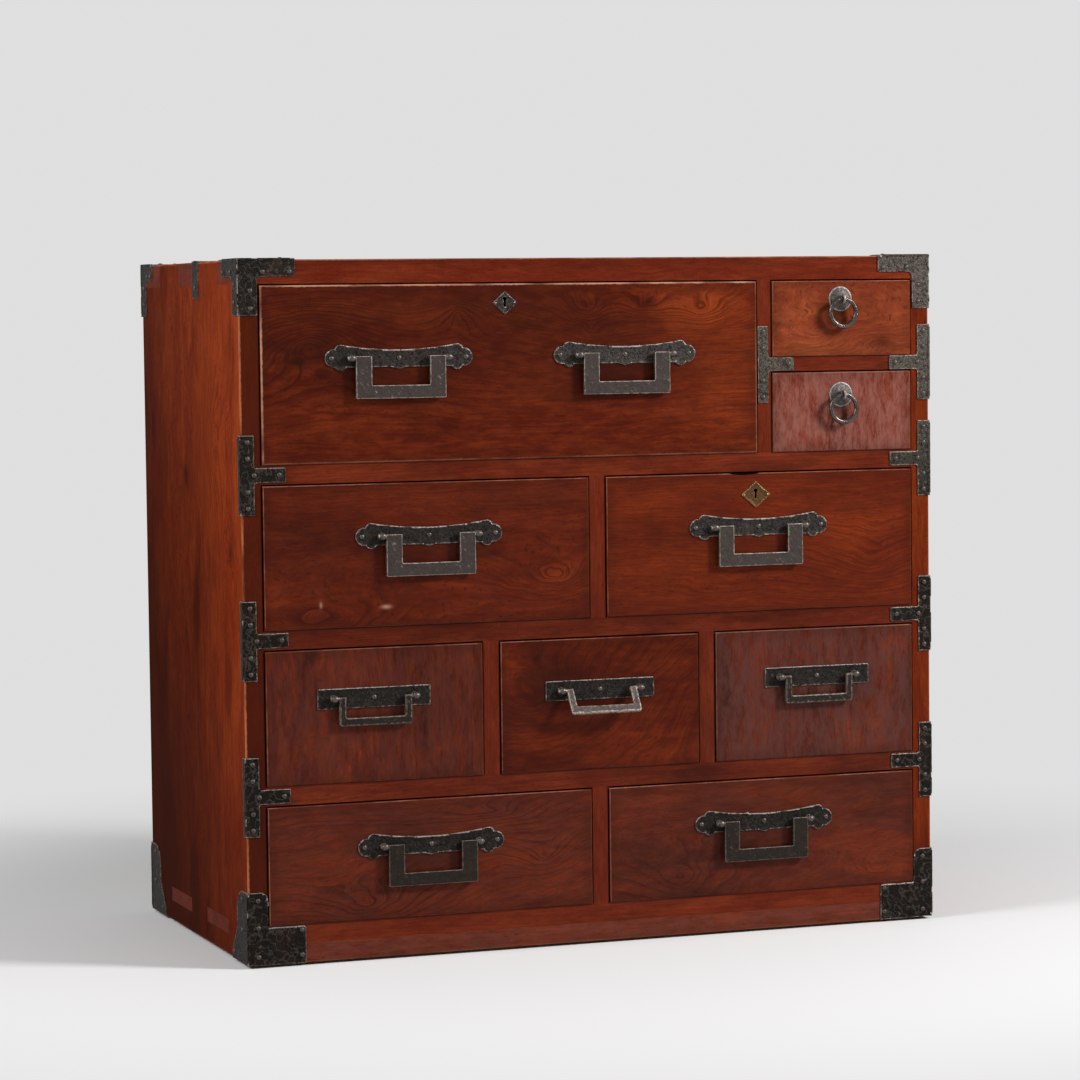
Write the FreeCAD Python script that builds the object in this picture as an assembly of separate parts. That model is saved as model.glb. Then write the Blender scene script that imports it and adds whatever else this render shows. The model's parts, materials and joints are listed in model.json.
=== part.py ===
import FreeCAD, Part
import math
import os
from dataclasses import dataclass

# A small tansu chest: a finger-jointed case of solid boards with ten inset drawers, iron corner
# pieces and T-straps on its edges, nine swinging iron bails, two ring pulls and two drawer locks.
#
# Millimetres. +Z is up, +X is to the right of someone who faces the drawers, and the drawer
# fronts face -Y. The origin is on the floor, under the middle of the chest with its handles.

Vector = FreeCAD.Vector
LEFT = -1
RIGHT = 1

# ---------------------------------------------------------------- case boards
case_width = 750.0
case_depth = 390.0
side_t = 20.0
top_t = 24.0
bottom_t = 19.0
base_rail_h = 19.0
base_rail_t = 22.0
rail_h = 19.0
rail_depth = 30.0
small_rail_h = 15.0
shelf_t = 9.0
back_t = 9.0
back_rebate = 9.0
back_board_count = 3
back_board_gap = 0.5
partition_t = 16.5
upper_partition_t = 15.0
edge_round = 1.3

# ---------------------------------------------------------------- rows of drawers, from the top
top_row_h = 179.0
lower_small_h = 84.0
second_row_h = 145.2
third_row_h = 136.3
bottom_row_h = 120.5
upper_partition_x = 187.0
third_left_partition_x = -116.5
third_right_partition_x = 119.5

# ---------------------------------------------------------------- joinery
finger_count = 5
tenon_h = 15.0
tenon_width = 84.0
tenon_spacing = 147.0
rail_tenon = 8.0
rail_tenon_shoulder = 4.0
shelf_housing = 5.0
partition_stub = 3.0

# ---------------------------------------------------------------- skids under the base
skid_h = 3.0
skid_depth = 26.0
skid_front_inset = 10.0
skid_end_inset = 8.0

# ---------------------------------------------------------------- drawers
front_t = 18.0
front_proud = 2.2
front_round = 1.6
front_side_gap = 1.5
front_top_gap = 1.5
running_gap = 0.3
drawer_side_t = 9.0
drawer_side_lap = 9.0
drawer_side_drop = 2.0
drawer_back_t = 8.0
drawer_back_drop = 3.0
drawer_bottom_t = 6.0
drawer_bottom_raise = 4.0
drawer_groove = 3.0
drawer_rear_gap = 5.0
chip_length = 36.0
chip_depth = 2.2
chip_from_left = 155.0

# ---------------------------------------------------------------- handle ironwork
iron_t = 1.3
plate_t = 1.5
nail_head_r = 3.1
nail_head_h = 1.3
nail_shank_r = 1.0
nail_length = 9.0
nail_fit = 0.05
nail_stagger = 6.0
clinch_length = 16.0
clinch_width = 3.2
clinch_t = 1.6
post_fit = 0.1
pin_clearance = 0.25

large_plate_half = 61.0
large_plate_crest = 13.3
large_plate_sag = 8.0
large_plate_foot = 9.0
large_plate_cusp = 2.0
large_plate_cusp_half = 7.0
large_lobe_top_r = 6.3
large_lobe_end_r = 9.0
large_lobe_foot_r = 6.4
large_lobe_end_x = 68.3
large_lobe_rise = 7.0
large_lobe_fall = 5.8
large_nail_x = 70.5
large_post_x = 50.6
large_bail_half = 47.0
large_bail_arm = 16.6
large_bail_bar = 13.2
large_bail_drop = 40.4
large_bail_t = 4.6
large_bail_soft = 0.7
large_bail_corner = 1.2
large_pin_r = 1.9
large_stand = 5.6

medium_plate_half = 59.0
medium_plate_h = 20.0
medium_plate_corner = 1.5
medium_post_x = 42.6
medium_bail_half = 38.2
medium_bail_arm = 7.4
medium_bail_bar = 8.8
medium_bail_drop = 28.0
medium_bail_t = 4.4
medium_bail_soft = 1.3
medium_bail_corner = 3.0
medium_pin_r = 1.7
medium_stand = 5.6
medium_bail_lean = 35.0

bead_r = 3.7
bead_length = 6.0
post_shank_r = 2.7
pin_overhang = 1.2

rosette_r = 13.0
rosette_rim = 0.9
rosette_dome = 2.6
ring_r = 14.3
ring_wire_r = 2.6
ring_stand = 8.0
eye_r = 5.3
eye_t = 3.2
eye_clearance = 0.6
eye_shank_r = 2.2

# ---------------------------------------------------------------- handle places
# Heights are those of the bail pivots above the middle of each drawer opening.
big_drawer_handle_x = 120.9
big_drawer_handle_shift = -2.0
big_drawer_handle_rise = 15.1
second_left_handle_rise = 18.2
second_right_handle_rise = 15.7
third_row_handle_rise = 17.3
third_middle_handle_rise = 14.2
bottom_left_handle_rise = 13.4
bottom_right_handle_rise = 15.3
upper_ring_rise = 19.5
lower_ring_rise = 17.0
ring_shift = -2.0
second_right_handle_shift = -3.5
third_left_handle_shift = -2.0
third_middle_handle_shift = -1.5
third_right_handle_shift = 1.5
bottom_left_handle_shift = -2.0

# ---------------------------------------------------------------- case irons
corner_reach = 58.0
back_corner_reach = 45.0
corner_arm = 16.5
corner_upright = 18.8
corner_drop = 55.0
corner_fillet = 6.0
corner_nail_end = 5.5
corner_nail_line = 12.0
corner_nail_elbow = 25.0
corner_nail_upper = 30.5
corner_nail_lower = 48.0
foot_reach = 59.0
foot_h = 37.4
foot_upright = 20.0
foot_rise = 73.0
foot_top_round = 8.0
foot_side_width = 38.0
foot_side_round = 22.0
foot_side_flare = 57.0
foot_side_waist = 34.0
foot_side_toe = 8.0
strap_length = 79.0
strap_width = 13.2
strap_reach = 45.5
strap_arm = 14.5
strap_wrap = 8.0
strap_fillet = 2.5
divider_strap_width = 11.5
divider_strap_reach = 40.5
edge_strap_width = 22.0
edge_strap_drop = 37.0
edge_strap_from_front = 162.0

# ---------------------------------------------------------------- locks
lock_width = 46.0
lock_h = 36.0
lock_depth = 12.0
lock_wall = 1.6
lock_top_gap = 0.5
bolt_width = 18.0
bolt_t = 4.5
bolt_h = 20.0
bolt_clearance = 0.4
bolt_sink = 0.3
bolt_throw = 8.0
mortise_clearance = 1.2
mortise_depth = 9.0
keyhole_r = 2.3
keyhole_slot = 2.6
keyhole_drop = 8.0
escutcheon_t = 1.1
iron_escutcheon_width = 26.0
iron_escutcheon_h = 22.7
iron_escutcheon_drop = 19.5
big_lock_from_left = 257.0
brass_escutcheon_width = 32.0
brass_escutcheon_h = 27.0
brass_escutcheon_drop = 22.5
brass_scallop_r = 2.6
right_lock_from_left = 167.0

# ---------------------------------------------------------------- how far each piece moves
drawer_travel = 250.0
bail_swing_in = 4.0
bail_swing_out = 184.0
bail_on_escutcheon = 181.0
ring_swing_in = 8.0
ring_swing_out = 184.0

# ---------------------------------------------------------------- places that follow from the sizes
large_reach = large_stand + bead_r
medium_reach = medium_stand + bead_r
ring_reach = ring_stand + eye_r
handle_reach = front_proud + max(large_reach, medium_reach, ring_reach)
back_reach = iron_t + nail_head_h

left_x = -case_width / 2
right_x = case_width / 2
front_y = (handle_reach - case_depth - back_reach) / 2
back_y = front_y + case_depth
back_board_y = back_y - back_t
rail_back_y = front_y + rail_depth
front_face_y = front_y - front_proud

base_z = skid_h
bottom_board_z = base_z + base_rail_h
bottom_row_z = bottom_board_z + bottom_t
lower_rail_z = bottom_row_z + bottom_row_h
third_row_z = lower_rail_z + rail_h
middle_rail_z = third_row_z + third_row_h
second_row_z = middle_rail_z + rail_h
upper_rail_z = second_row_z + second_row_h
top_row_z = upper_rail_z + rail_h
small_rail_z = top_row_z + lower_small_h
top_board_z = top_row_z + top_row_h
case_top = top_board_z + top_t

inner_left = left_x + side_t
inner_right = right_x - side_t
finger_length = case_depth / finger_count


@dataclass
class Opening:
    """The space in the case that one drawer fills."""

    x0: float
    x1: float
    z0: float
    z1: float

    def middle_x(self):
        return (self.x0 + self.x1) / 2

    def middle_z(self):
        return (self.z0 + self.z1) / 2


# ---------------------------------------------------------------- shape helpers
def box(x0, x1, y0, y1, z0, z1):
    """A block between two corners."""
    return Part.makeBox(x1 - x0, y1 - y0, z1 - z0, Vector(x0, y0, z0))


def rod(radius, start, end):
    """A round bar between two points."""
    along = end - start
    return Part.makeCylinder(radius, along.Length, start, along)


def fused(shapes):
    """One solid made of several that meet."""
    return shapes[0].multiFuse(shapes[1:]).removeSplitter()


def mirrored(shapes, normal, at=Vector(0, 0, 0)):
    """Mirror images of the shapes in the plane through a point."""
    return [shape.mirror(at, normal) for shape in shapes]


def rounded_face(corners, to_space):
    """A flat face with (u, v, radius) corners; to_space turns u and v into a point."""
    flat = [Vector(u, v, 0) for u, v, radius in corners]
    count = len(corners)
    leaves = []
    entries = []
    edges = []
    for index in range(count):
        here = flat[index]
        radius = corners[index][2]
        before = (flat[index - 1] - here).normalize()
        after = (flat[(index + 1) % count] - here).normalize()
        if radius == 0:
            entries.append(here)
            leaves.append(here)
            continue
        half_angle = before.getAngle(after) / 2
        setback = radius / math.tan(half_angle)
        inward = (before + after).normalize()
        crown = here + inward * (radius / math.sin(half_angle) - radius)
        entries.append(here + before * setback)
        leaves.append(here + after * setback)
        arc_points = [entries[index], crown, leaves[index]]
        edges.append(Part.Arc(*[to_space(point.x, point.y) for point in arc_points]).toShape())
    for index in range(count):
        start = leaves[index]
        end = entries[(index + 1) % count]
        edges.append(Part.makeLine(to_space(start.x, start.y), to_space(end.x, end.y)))
    wire = Part.Wire(Part.__sortEdges__(edges))
    return Part.Face(wire)


def softened(solid, radius, along=Vector(0, 1, 0)):
    """Round every edge of a flat bar except those that run through its thickness."""
    edges = []
    for edge in solid.Edges:
        direction = edge.tangentAt(edge.FirstParameter)
        if abs(direction.dot(along)) < 0.5:
            edges.append(edge)
    return solid.makeFillet(radius, edges)


# ---------------------------------------------------------------- nails and their holes
def nail_template():
    """A nail with a domed head on the origin, pointing down -Z."""
    dome_r = (nail_head_r ** 2 + nail_head_h ** 2) / (2 * nail_head_h)
    latitude = math.degrees(math.asin((dome_r - nail_head_h) / dome_r))
    centre = Vector(0, 0, nail_head_h - dome_r)
    head = Part.makeSphere(dome_r, centre, Vector(0, 0, 1), latitude, 90, 360)
    shank = rod(nail_shank_r, Vector(0, 0, 0), Vector(0, 0, -nail_length))
    return fused([head, shank])


NAIL = nail_template()


def nails_at(places):
    """Nails driven in at (point, outward) places."""
    nails = []
    for point, outward in places:
        nail = NAIL.copy()
        nail.Placement = FreeCAD.Placement(point, FreeCAD.Rotation(Vector(0, 0, 1), outward))
        nails.append(nail)
    return nails


def nail_holes(places):
    """The holes that nails at (point, outward) places need."""
    holes = []
    for point, outward in places:
        start = point + outward * nail_head_h
        end = point - outward * (nail_length + nail_fit)
        holes.append(rod(nail_shank_r + nail_fit, start, end))
    return holes


def drilled(solid, holes):
    """The solid less those of the holes that reach it."""
    reach = solid.BoundBox
    near = [hole for hole in holes if reach.intersect(hole.BoundBox)]
    if not near:
        return solid
    return solid.cut(near)


# ---------------------------------------------------------------- openings for the drawers
big_opening = Opening(inner_left, upper_partition_x - upper_partition_t / 2, top_row_z, top_board_z)
upper_small_opening = Opening(
    upper_partition_x + upper_partition_t / 2, inner_right, small_rail_z + small_rail_h, top_board_z)
lower_small_opening = Opening(
    upper_partition_x + upper_partition_t / 2, inner_right, top_row_z, small_rail_z)
second_left_opening = Opening(inner_left, -partition_t / 2, second_row_z, upper_rail_z)
second_right_opening = Opening(partition_t / 2, inner_right, second_row_z, upper_rail_z)
third_left_opening = Opening(
    inner_left, third_left_partition_x - partition_t / 2, third_row_z, middle_rail_z)
third_middle_opening = Opening(
    third_left_partition_x + partition_t / 2, third_right_partition_x - partition_t / 2,
    third_row_z, middle_rail_z)
third_right_opening = Opening(
    third_right_partition_x + partition_t / 2, inner_right, third_row_z, middle_rail_z)
bottom_left_opening = Opening(inner_left, -partition_t / 2, bottom_row_z, lower_rail_z)
bottom_right_opening = Opening(partition_t / 2, inner_right, bottom_row_z, lower_rail_z)

big_lock_x = big_opening.x0 + big_lock_from_left
right_lock_x = second_right_opening.x0 + right_lock_from_left
lock_mid_y = front_face_y + front_t + lock_depth / 2


# ---------------------------------------------------------------- case irons
def on_front(u, v):
    """A point on the outside of the irons on the front, u in from the left edge, v up."""
    return Vector(left_x + u, front_y - iron_t, v)


def on_left(u, v):
    """A point on the outside of the irons on the left side, u back from the front, v up."""
    return Vector(left_x - iron_t, front_y + u, v)


def on_top(u, v):
    """A point on top of the boards, u in from the left edge, v back from the front."""
    return Vector(left_x + u, front_y + v, case_top)


INTO_FRONT = Vector(0, iron_t, 0)
INTO_LEFT = Vector(iron_t, 0, 0)
ABOVE_TOP = Vector(0, 0, iron_t)


def top_corner_iron(reach):
    """Three-leaved iron on the top front left corner, with its nail places."""
    bottom = case_top - corner_drop
    step = case_top - corner_arm
    crown = case_top + iron_t
    upright_leaf = [
        (-iron_t, bottom, 0), (corner_upright, bottom, 0), (corner_upright, step, corner_fillet),
        (reach, step, 0), (reach, crown, 0), (-iron_t, crown, 0)]
    top_leaf = [
        (-iron_t, -iron_t, 0), (reach, -iron_t, 0), (reach, corner_upright, 0),
        (corner_upright, corner_upright, corner_fillet), (corner_upright, reach, 0),
        (-iron_t, reach, 0)]
    iron = fused([
        rounded_face(upright_leaf, on_front).extrude(INTO_FRONT),
        rounded_face(upright_leaf, on_left).extrude(INTO_LEFT),
        rounded_face(top_leaf, on_top).extrude(ABOVE_TOP)])
    near_end = reach - corner_nail_end
    places = []
    for u in (near_end, corner_nail_elbow):
        places.append((on_front(u, case_top - corner_nail_line), Vector(0, -1, 0)))
        places.append((on_left(u, case_top - corner_nail_line), Vector(-1, 0, 0)))
    for drop in (corner_nail_upper, corner_nail_lower):
        places.append((on_front(corner_nail_line, case_top - drop), Vector(0, -1, 0)))
        places.append((on_left(corner_nail_line, case_top - drop + nail_stagger), Vector(-1, 0, 0)))
    top_end = near_end - nail_stagger
    for u, v in [(top_end, corner_nail_line), (corner_nail_line, top_end)]:
        places.append((on_top(u, v) + ABOVE_TOP, Vector(0, 0, 1)))
    return iron, places


def foot_iron():
    """Two-leaved iron on the bottom front left corner, with its nail places."""
    front_leaf = [
        (-iron_t, base_z, 0), (foot_reach, base_z, 0), (foot_reach, base_z + foot_h, strap_fillet),
        (foot_upright, base_z + foot_h, strap_fillet),
        (foot_upright, base_z + foot_rise, foot_top_round), (-iron_t, base_z + foot_rise, 0)]
    side_leaf = [
        (-iron_t, base_z, 0), (foot_side_flare, base_z, 0),
        (foot_side_flare, base_z + foot_side_toe, strap_fillet),
        (foot_side_width, base_z + foot_side_waist, foot_side_round),
        (foot_side_width, base_z + foot_rise, foot_side_round), (-iron_t, base_z + foot_rise, 0)]
    iron = fused([
        rounded_face(front_leaf, on_front).extrude(INTO_FRONT),
        rounded_face(side_leaf, on_left).extrude(INTO_LEFT)])
    margin = corner_arm / 2
    front_places = [
        (foot_upright / 2, base_z + foot_rise - margin), (foot_upright / 2, base_z + foot_h),
        (foot_reach - margin / 2, base_z + foot_h - margin / 2), (foot_reach - margin / 2, base_z + margin),
        (foot_upright / 2, base_z + margin)]
    side_places = [
        (foot_side_width / 2, base_z + foot_rise - margin), (foot_side_width / 2, base_z + foot_side_waist),
        (foot_side_flare - margin, base_z + margin)]
    places = [(on_front(u, v), Vector(0, -1, 0)) for u, v in front_places]
    places += [(on_left(u, v), Vector(-1, 0, 0)) for u, v in side_places]
    return iron, places


def rail_strap(middle):
    """T-strap on the left edge of the case at the middle height of a rail, with its nail places."""
    half = strap_length / 2
    arm = strap_arm / 2
    front_leaf = [
        (-iron_t, middle - half, 0), (strap_width, middle - half, 0),
        (strap_width, middle - arm, strap_fillet), (strap_reach, middle - arm, 0),
        (strap_reach, middle + arm, 0), (strap_width, middle + arm, strap_fillet),
        (strap_width, middle + half, 0), (-iron_t, middle + half, 0)]
    side_leaf = [
        (-iron_t, middle - half, 0), (strap_wrap, middle - half, 0),
        (strap_wrap, middle + half, 0), (-iron_t, middle + half, 0)]
    iron = fused([
        rounded_face(front_leaf, on_front).extrude(INTO_FRONT),
        rounded_face(side_leaf, on_left).extrude(INTO_LEFT)])
    end = half - strap_width / 2
    places = []
    for v in (middle - end, middle - end / 2, middle + end / 2, middle + end):
        places.append((on_front(strap_width / 2, v), Vector(0, -1, 0)))
    places.append((on_front(strap_width, middle), Vector(0, -1, 0)))
    places.append((on_front(strap_reach - strap_width / 2, middle), Vector(0, -1, 0)))
    return iron, places


def divider_strap():
    """T-strap on the front edge of the upper partition, with its nail places."""
    middle = small_rail_z + small_rail_h / 2
    half = strap_length / 2
    arm = (small_rail_h - front_top_gap) / 2
    edge = upper_partition_x - upper_partition_t / 2 - left_x
    corners = [
        (edge, middle - half, 0), (edge + divider_strap_width, middle - half, 0),
        (edge + divider_strap_width, middle - arm, strap_fillet),
        (edge + divider_strap_reach, middle - arm, 0),
        (edge + divider_strap_reach, middle + arm, 0),
        (edge + divider_strap_width, middle + arm, strap_fillet),
        (edge + divider_strap_width, middle + half, 0), (edge, middle + half, 0)]
    iron = rounded_face(corners, on_front).extrude(INTO_FRONT)
    end = half - divider_strap_width / 2
    places = []
    for v in (middle - end, middle - end / 2, middle + end / 2, middle + end):
        places.append((on_front(edge + divider_strap_width / 2, v), Vector(0, -1, 0)))
    arm_end = edge + divider_strap_reach - divider_strap_width / 2
    places.append((on_front(arm_end, middle), Vector(0, -1, 0)))
    return iron, places


def edge_strap():
    """Narrow strap folded over the top left edge behind its middle, with its nail places."""
    u0 = edge_strap_from_front - edge_strap_width / 2
    u1 = edge_strap_from_front + edge_strap_width / 2
    side_leaf = [
        (u0, case_top - edge_strap_drop, 0), (u1, case_top - edge_strap_drop, 0),
        (u1, case_top + iron_t, 0), (u0, case_top + iron_t, 0)]
    top_leaf = [
        (-iron_t, u0, 0), (edge_strap_drop, u0, 0), (edge_strap_drop, u1, 0), (-iron_t, u1, 0)]
    iron = fused([
        rounded_face(side_leaf, on_left).extrude(INTO_LEFT),
        rounded_face(top_leaf, on_top).extrude(ABOVE_TOP)])
    tail = edge_strap_drop - edge_strap_width / 2
    places = [
        (on_left(edge_strap_from_front, case_top - tail), Vector(-1, 0, 0)),
        (on_top(tail, edge_strap_from_front) + ABOVE_TOP, Vector(0, 0, 1))]
    return iron, places


def mirrored_places(places, normal, at=Vector(0, 0, 0)):
    """Nail places mirrored in the plane through a point."""
    result = []
    for point, outward in places:
        across = normal * (2 * (point - at).dot(normal))
        turn = normal * (2 * outward.dot(normal))
        result.append((point - across, outward - turn))
    return result


ACROSS = Vector(1, 0, 0)
DEPTHWAYS = Vector(0, 1, 0)
CASE_MIDDLE = Vector(0, (front_y + back_y) / 2, 0)


def corner_irons():
    """The eight corner pieces and their nail places."""
    front_top, front_top_places = top_corner_iron(corner_reach)
    back_top, back_top_places = top_corner_iron(back_corner_reach)
    foot, foot_places = foot_iron()
    irons = [front_top, foot]
    irons += mirrored([back_top, foot], DEPTHWAYS, CASE_MIDDLE)
    places = front_top_places + foot_places
    places += mirrored_places(back_top_places + foot_places, DEPTHWAYS, CASE_MIDDLE)
    irons += mirrored(irons, ACROSS)
    places += mirrored_places(places, ACROSS)
    return irons, places


def edge_straps():
    """The T-straps and the two narrow straps, and their nail places."""
    rail_middles = [lower_rail_z + rail_h / 2, middle_rail_z + rail_h / 2, upper_rail_z + rail_h / 2]
    straps = []
    places = []
    for middle in rail_middles:
        strap, strap_places = rail_strap(middle)
        straps += [strap] + mirrored([strap], ACROSS)
        places += strap_places + mirrored_places(strap_places, ACROSS)
    small, small_places = rail_strap(small_rail_z + small_rail_h / 2)
    straps += mirrored([small], ACROSS)
    places += mirrored_places(small_places, ACROSS)
    narrow, narrow_places = edge_strap()
    straps += [narrow] + mirrored([narrow], ACROSS)
    places += narrow_places + mirrored_places(narrow_places, ACROSS)
    divider, divider_places = divider_strap()
    straps.append(divider)
    places += divider_places
    return straps, places


CORNER_IRONS, CORNER_NAILS = corner_irons()
EDGE_STRAPS, STRAP_NAILS = edge_straps()
CASE_NAIL_PLACES = CORNER_NAILS + STRAP_NAILS
CASE_NAIL_HOLES = nail_holes(CASE_NAIL_PLACES)


# ---------------------------------------------------------------- the case
def outer_block():
    """The whole outside of the case with its softened edges."""
    block = box(left_x, right_x, front_y, back_y, base_z, case_top)
    return block.makeFillet(edge_round, block.Edges)


OUTER_BLOCK = outer_block()


def finger_spans(first):
    """Front-to-back spans of every second finger, from the first or the second one on."""
    spans = []
    for index in range(first, finger_count, 2):
        spans.append((front_y + index * finger_length, front_y + (index + 1) * finger_length))
    return spans


def tenon_spans():
    """Front-to-back spans of the bottom board's two through tenons."""
    middle = (front_y + back_board_y) / 2
    spans = []
    for centre in (middle - tenon_spacing / 2, middle + tenon_spacing / 2):
        spans.append((centre - tenon_width / 2, centre + tenon_width / 2))
    return spans


def top_board():
    """The top, with through fingers at both ends and the mortise for the big drawer's bolt."""
    board = box(left_x, right_x, front_y, back_y, top_board_z, case_top).common(OUTER_BLOCK)
    notches = []
    for y0, y1 in finger_spans(1):
        notches.append(box(left_x, inner_left, y0, y1, top_board_z, case_top))
        notches.append(box(inner_right, right_x, y0, y1, top_board_z, case_top))
    notches.append(bolt_mortise(big_lock_x, top_board_z))
    return drilled(board.cut(notches), CASE_NAIL_HOLES)


def bolt_mortise(x, z):
    """The pocket that a lock's bolt rises into, open at its underside."""
    half_x = bolt_width / 2 + mortise_clearance
    half_y = bolt_t / 2 + mortise_clearance
    return box(x - half_x, x + half_x, lock_mid_y - half_y, lock_mid_y + half_y, z, z + mortise_depth)


def side_rails(side):
    """Heights of the (underside, thickness) rails that end in a side board."""
    rails = [(lower_rail_z, rail_h), (middle_rail_z, rail_h), (upper_rail_z, rail_h)]
    if side == RIGHT:
        rails.append((small_rail_z, small_rail_h))
    return rails


def side_board(side):
    """A side, notched for the top, and housed for the bottom, rails, shelves and back."""
    board = box(left_x, inner_left, front_y, back_y, base_z, case_top).common(OUTER_BLOCK)
    cuts = [box(inner_left - back_rebate, inner_left, back_board_y, back_y, bottom_board_z, top_board_z)]
    for y0, y1 in finger_spans(0):
        cuts.append(box(left_x, inner_left, y0, y1, top_board_z, case_top))
    tenon_z = bottom_board_z + (bottom_t - tenon_h) / 2
    for y0, y1 in tenon_spans():
        cuts.append(box(left_x, inner_left, y0, y1, tenon_z, tenon_z + tenon_h))
    for underside, thickness in side_rails(side):
        cuts.append(box(
            inner_left - rail_tenon, inner_left,
            front_y + rail_tenon_shoulder, rail_back_y - rail_tenon_shoulder,
            underside + rail_tenon_shoulder, underside + thickness - rail_tenon_shoulder))
        shelf_z = underside + thickness - shelf_t
        cuts.append(box(
            inner_left - shelf_housing, inner_left, rail_back_y, back_board_y, shelf_z, shelf_z + shelf_t))
    board = board.cut(cuts)
    if side == RIGHT:
        board = mirrored([board], ACROSS)[0]
    return drilled(board, CASE_NAIL_HOLES)


def bottom_board():
    """The bottom, with two through tenons at each end."""
    board = box(inner_left, inner_right, front_y, back_board_y, bottom_board_z, bottom_board_z + bottom_t)
    tenon_z = bottom_board_z + (bottom_t - tenon_h) / 2
    tenons = []
    for y0, y1 in tenon_spans():
        tenons.append(box(left_x, right_x, y0, y1, tenon_z, tenon_z + tenon_h))
    return drilled(fused([board] + tenons), CASE_NAIL_HOLES)


def back_boards():
    """Boards laid across the back, one above the other, let into the sides."""
    height = top_board_z - bottom_board_z
    pitch = height / back_board_count
    boards = []
    for index in range(back_board_count):
        z0 = bottom_board_z + index * pitch
        z1 = z0 + pitch
        if index < back_board_count - 1:
            z1 -= back_board_gap
        board = box(inner_left - back_rebate, inner_right + back_rebate, back_board_y, back_y, z0, z1)
        boards.append(drilled(board, CASE_NAIL_HOLES))
    return boards


def base_rails():
    """The rails under the bottom board, at the front and at the back."""
    rails = [
        box(inner_left, inner_right, front_y, front_y + base_rail_t, base_z, bottom_board_z),
        box(inner_left, inner_right, back_y - base_rail_t, back_y, base_z, bottom_board_z)]
    return [drilled(rail, CASE_NAIL_HOLES) for rail in rails]


def skids():
    """The thin battens that the chest stands on."""
    x0 = left_x + skid_end_inset
    x1 = right_x - skid_end_inset
    front = front_y + skid_front_inset
    back = back_y - skid_front_inset
    return [
        box(x0, x1, front, front + skid_depth, 0, skid_h),
        box(x0, x1, back - skid_depth, back, 0, skid_h)]


def tenoned_rail(x0, x1, underside, thickness, ends):
    """A rail behind the front edge with stub tenons at the ends that are named."""
    rail = [box(x0, x1, front_y, rail_back_y, underside, underside + thickness)]
    y0 = front_y + rail_tenon_shoulder
    y1 = rail_back_y - rail_tenon_shoulder
    z0 = underside + rail_tenon_shoulder
    z1 = underside + thickness - rail_tenon_shoulder
    if LEFT in ends:
        rail.append(box(x0 - rail_tenon, x0, y0, y1, z0, z1))
    if RIGHT in ends:
        rail.append(box(x1, x1 + rail_tenon, y0, y1, z0, z1))
    return fused(rail)


def stub(x, thickness, z0, z1):
    """The tongue on a partition's end, or the slot for it in a rail."""
    y0 = front_y + rail_tenon_shoulder
    y1 = rail_back_y - rail_tenon_shoulder
    return box(x - thickness / 4, x + thickness / 4, y0, y1, z0, z1)


def front_rails():
    """Three rails across the whole case and the short one between the small drawers."""
    lower = tenoned_rail(inner_left, inner_right, lower_rail_z, rail_h, (LEFT, RIGHT))
    middle = tenoned_rail(inner_left, inner_right, middle_rail_z, rail_h, (LEFT, RIGHT))
    upper = tenoned_rail(inner_left, inner_right, upper_rail_z, rail_h, (LEFT, RIGHT))
    small = tenoned_rail(
        upper_small_opening.x0, inner_right, small_rail_z, small_rail_h, (LEFT, RIGHT))
    lower_slots = [stub(0, partition_t, lower_rail_z, lower_rail_z + partition_stub)]
    middle_slots = [stub(0, partition_t, second_row_z - partition_stub, second_row_z)]
    for x in (third_left_partition_x, third_right_partition_x):
        lower_slots.append(stub(x, partition_t, third_row_z - partition_stub, third_row_z))
        middle_slots.append(stub(x, partition_t, middle_rail_z, middle_rail_z + partition_stub))
    upper_slots = [
        stub(0, partition_t, upper_rail_z, upper_rail_z + partition_stub),
        stub(upper_partition_x, upper_partition_t, top_row_z - partition_stub, top_row_z),
        bolt_mortise(right_lock_x, upper_rail_z)]
    rails = [lower.cut(lower_slots), middle.cut(middle_slots), upper.cut(upper_slots), small]
    return [drilled(rail, CASE_NAIL_HOLES) for rail in rails]


def shelf(x0, x1, top):
    """A thin board behind a rail, housed at both ends, that drawers slide on."""
    return box(x0 - shelf_housing, x1 + shelf_housing, rail_back_y, back_board_y, top - shelf_t, top)


def shelf_boards():
    """The boards behind the four rails."""
    return [
        shelf(inner_left, inner_right, third_row_z),
        shelf(inner_left, inner_right, second_row_z),
        shelf(inner_left, inner_right, top_row_z),
        shelf(upper_small_opening.x0, inner_right, upper_small_opening.z0)]


def partition(x, thickness, z0, z1, rail_above):
    """An upright board between drawers, taller behind the rail above it."""
    x0 = x - thickness / 2
    x1 = x + thickness / 2
    rear_top = z1
    parts = [box(x0, x1, front_y, rail_back_y, z0, z1)]
    if rail_above:
        rear_top = z1 + rail_h - shelf_t
        parts.append(stub(x, thickness, z1, z1 + partition_stub))
    parts.append(box(x0, x1, rail_back_y, back_board_y, z0, rear_top))
    return parts


def lower_partitions():
    """The upright boards between the drawers of the second, third and bottom rows."""
    second = partition(0, partition_t, second_row_z, upper_rail_z, True)
    second.append(stub(0, partition_t, second_row_z - partition_stub, second_row_z))
    boards = [fused(second)]
    for x in (third_left_partition_x, third_right_partition_x):
        third = partition(x, partition_t, third_row_z, middle_rail_z, True)
        third.append(stub(x, partition_t, third_row_z - partition_stub, third_row_z))
        boards.append(fused(third))
    boards.append(fused(partition(0, partition_t, bottom_row_z, lower_rail_z, True)))
    return boards


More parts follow.
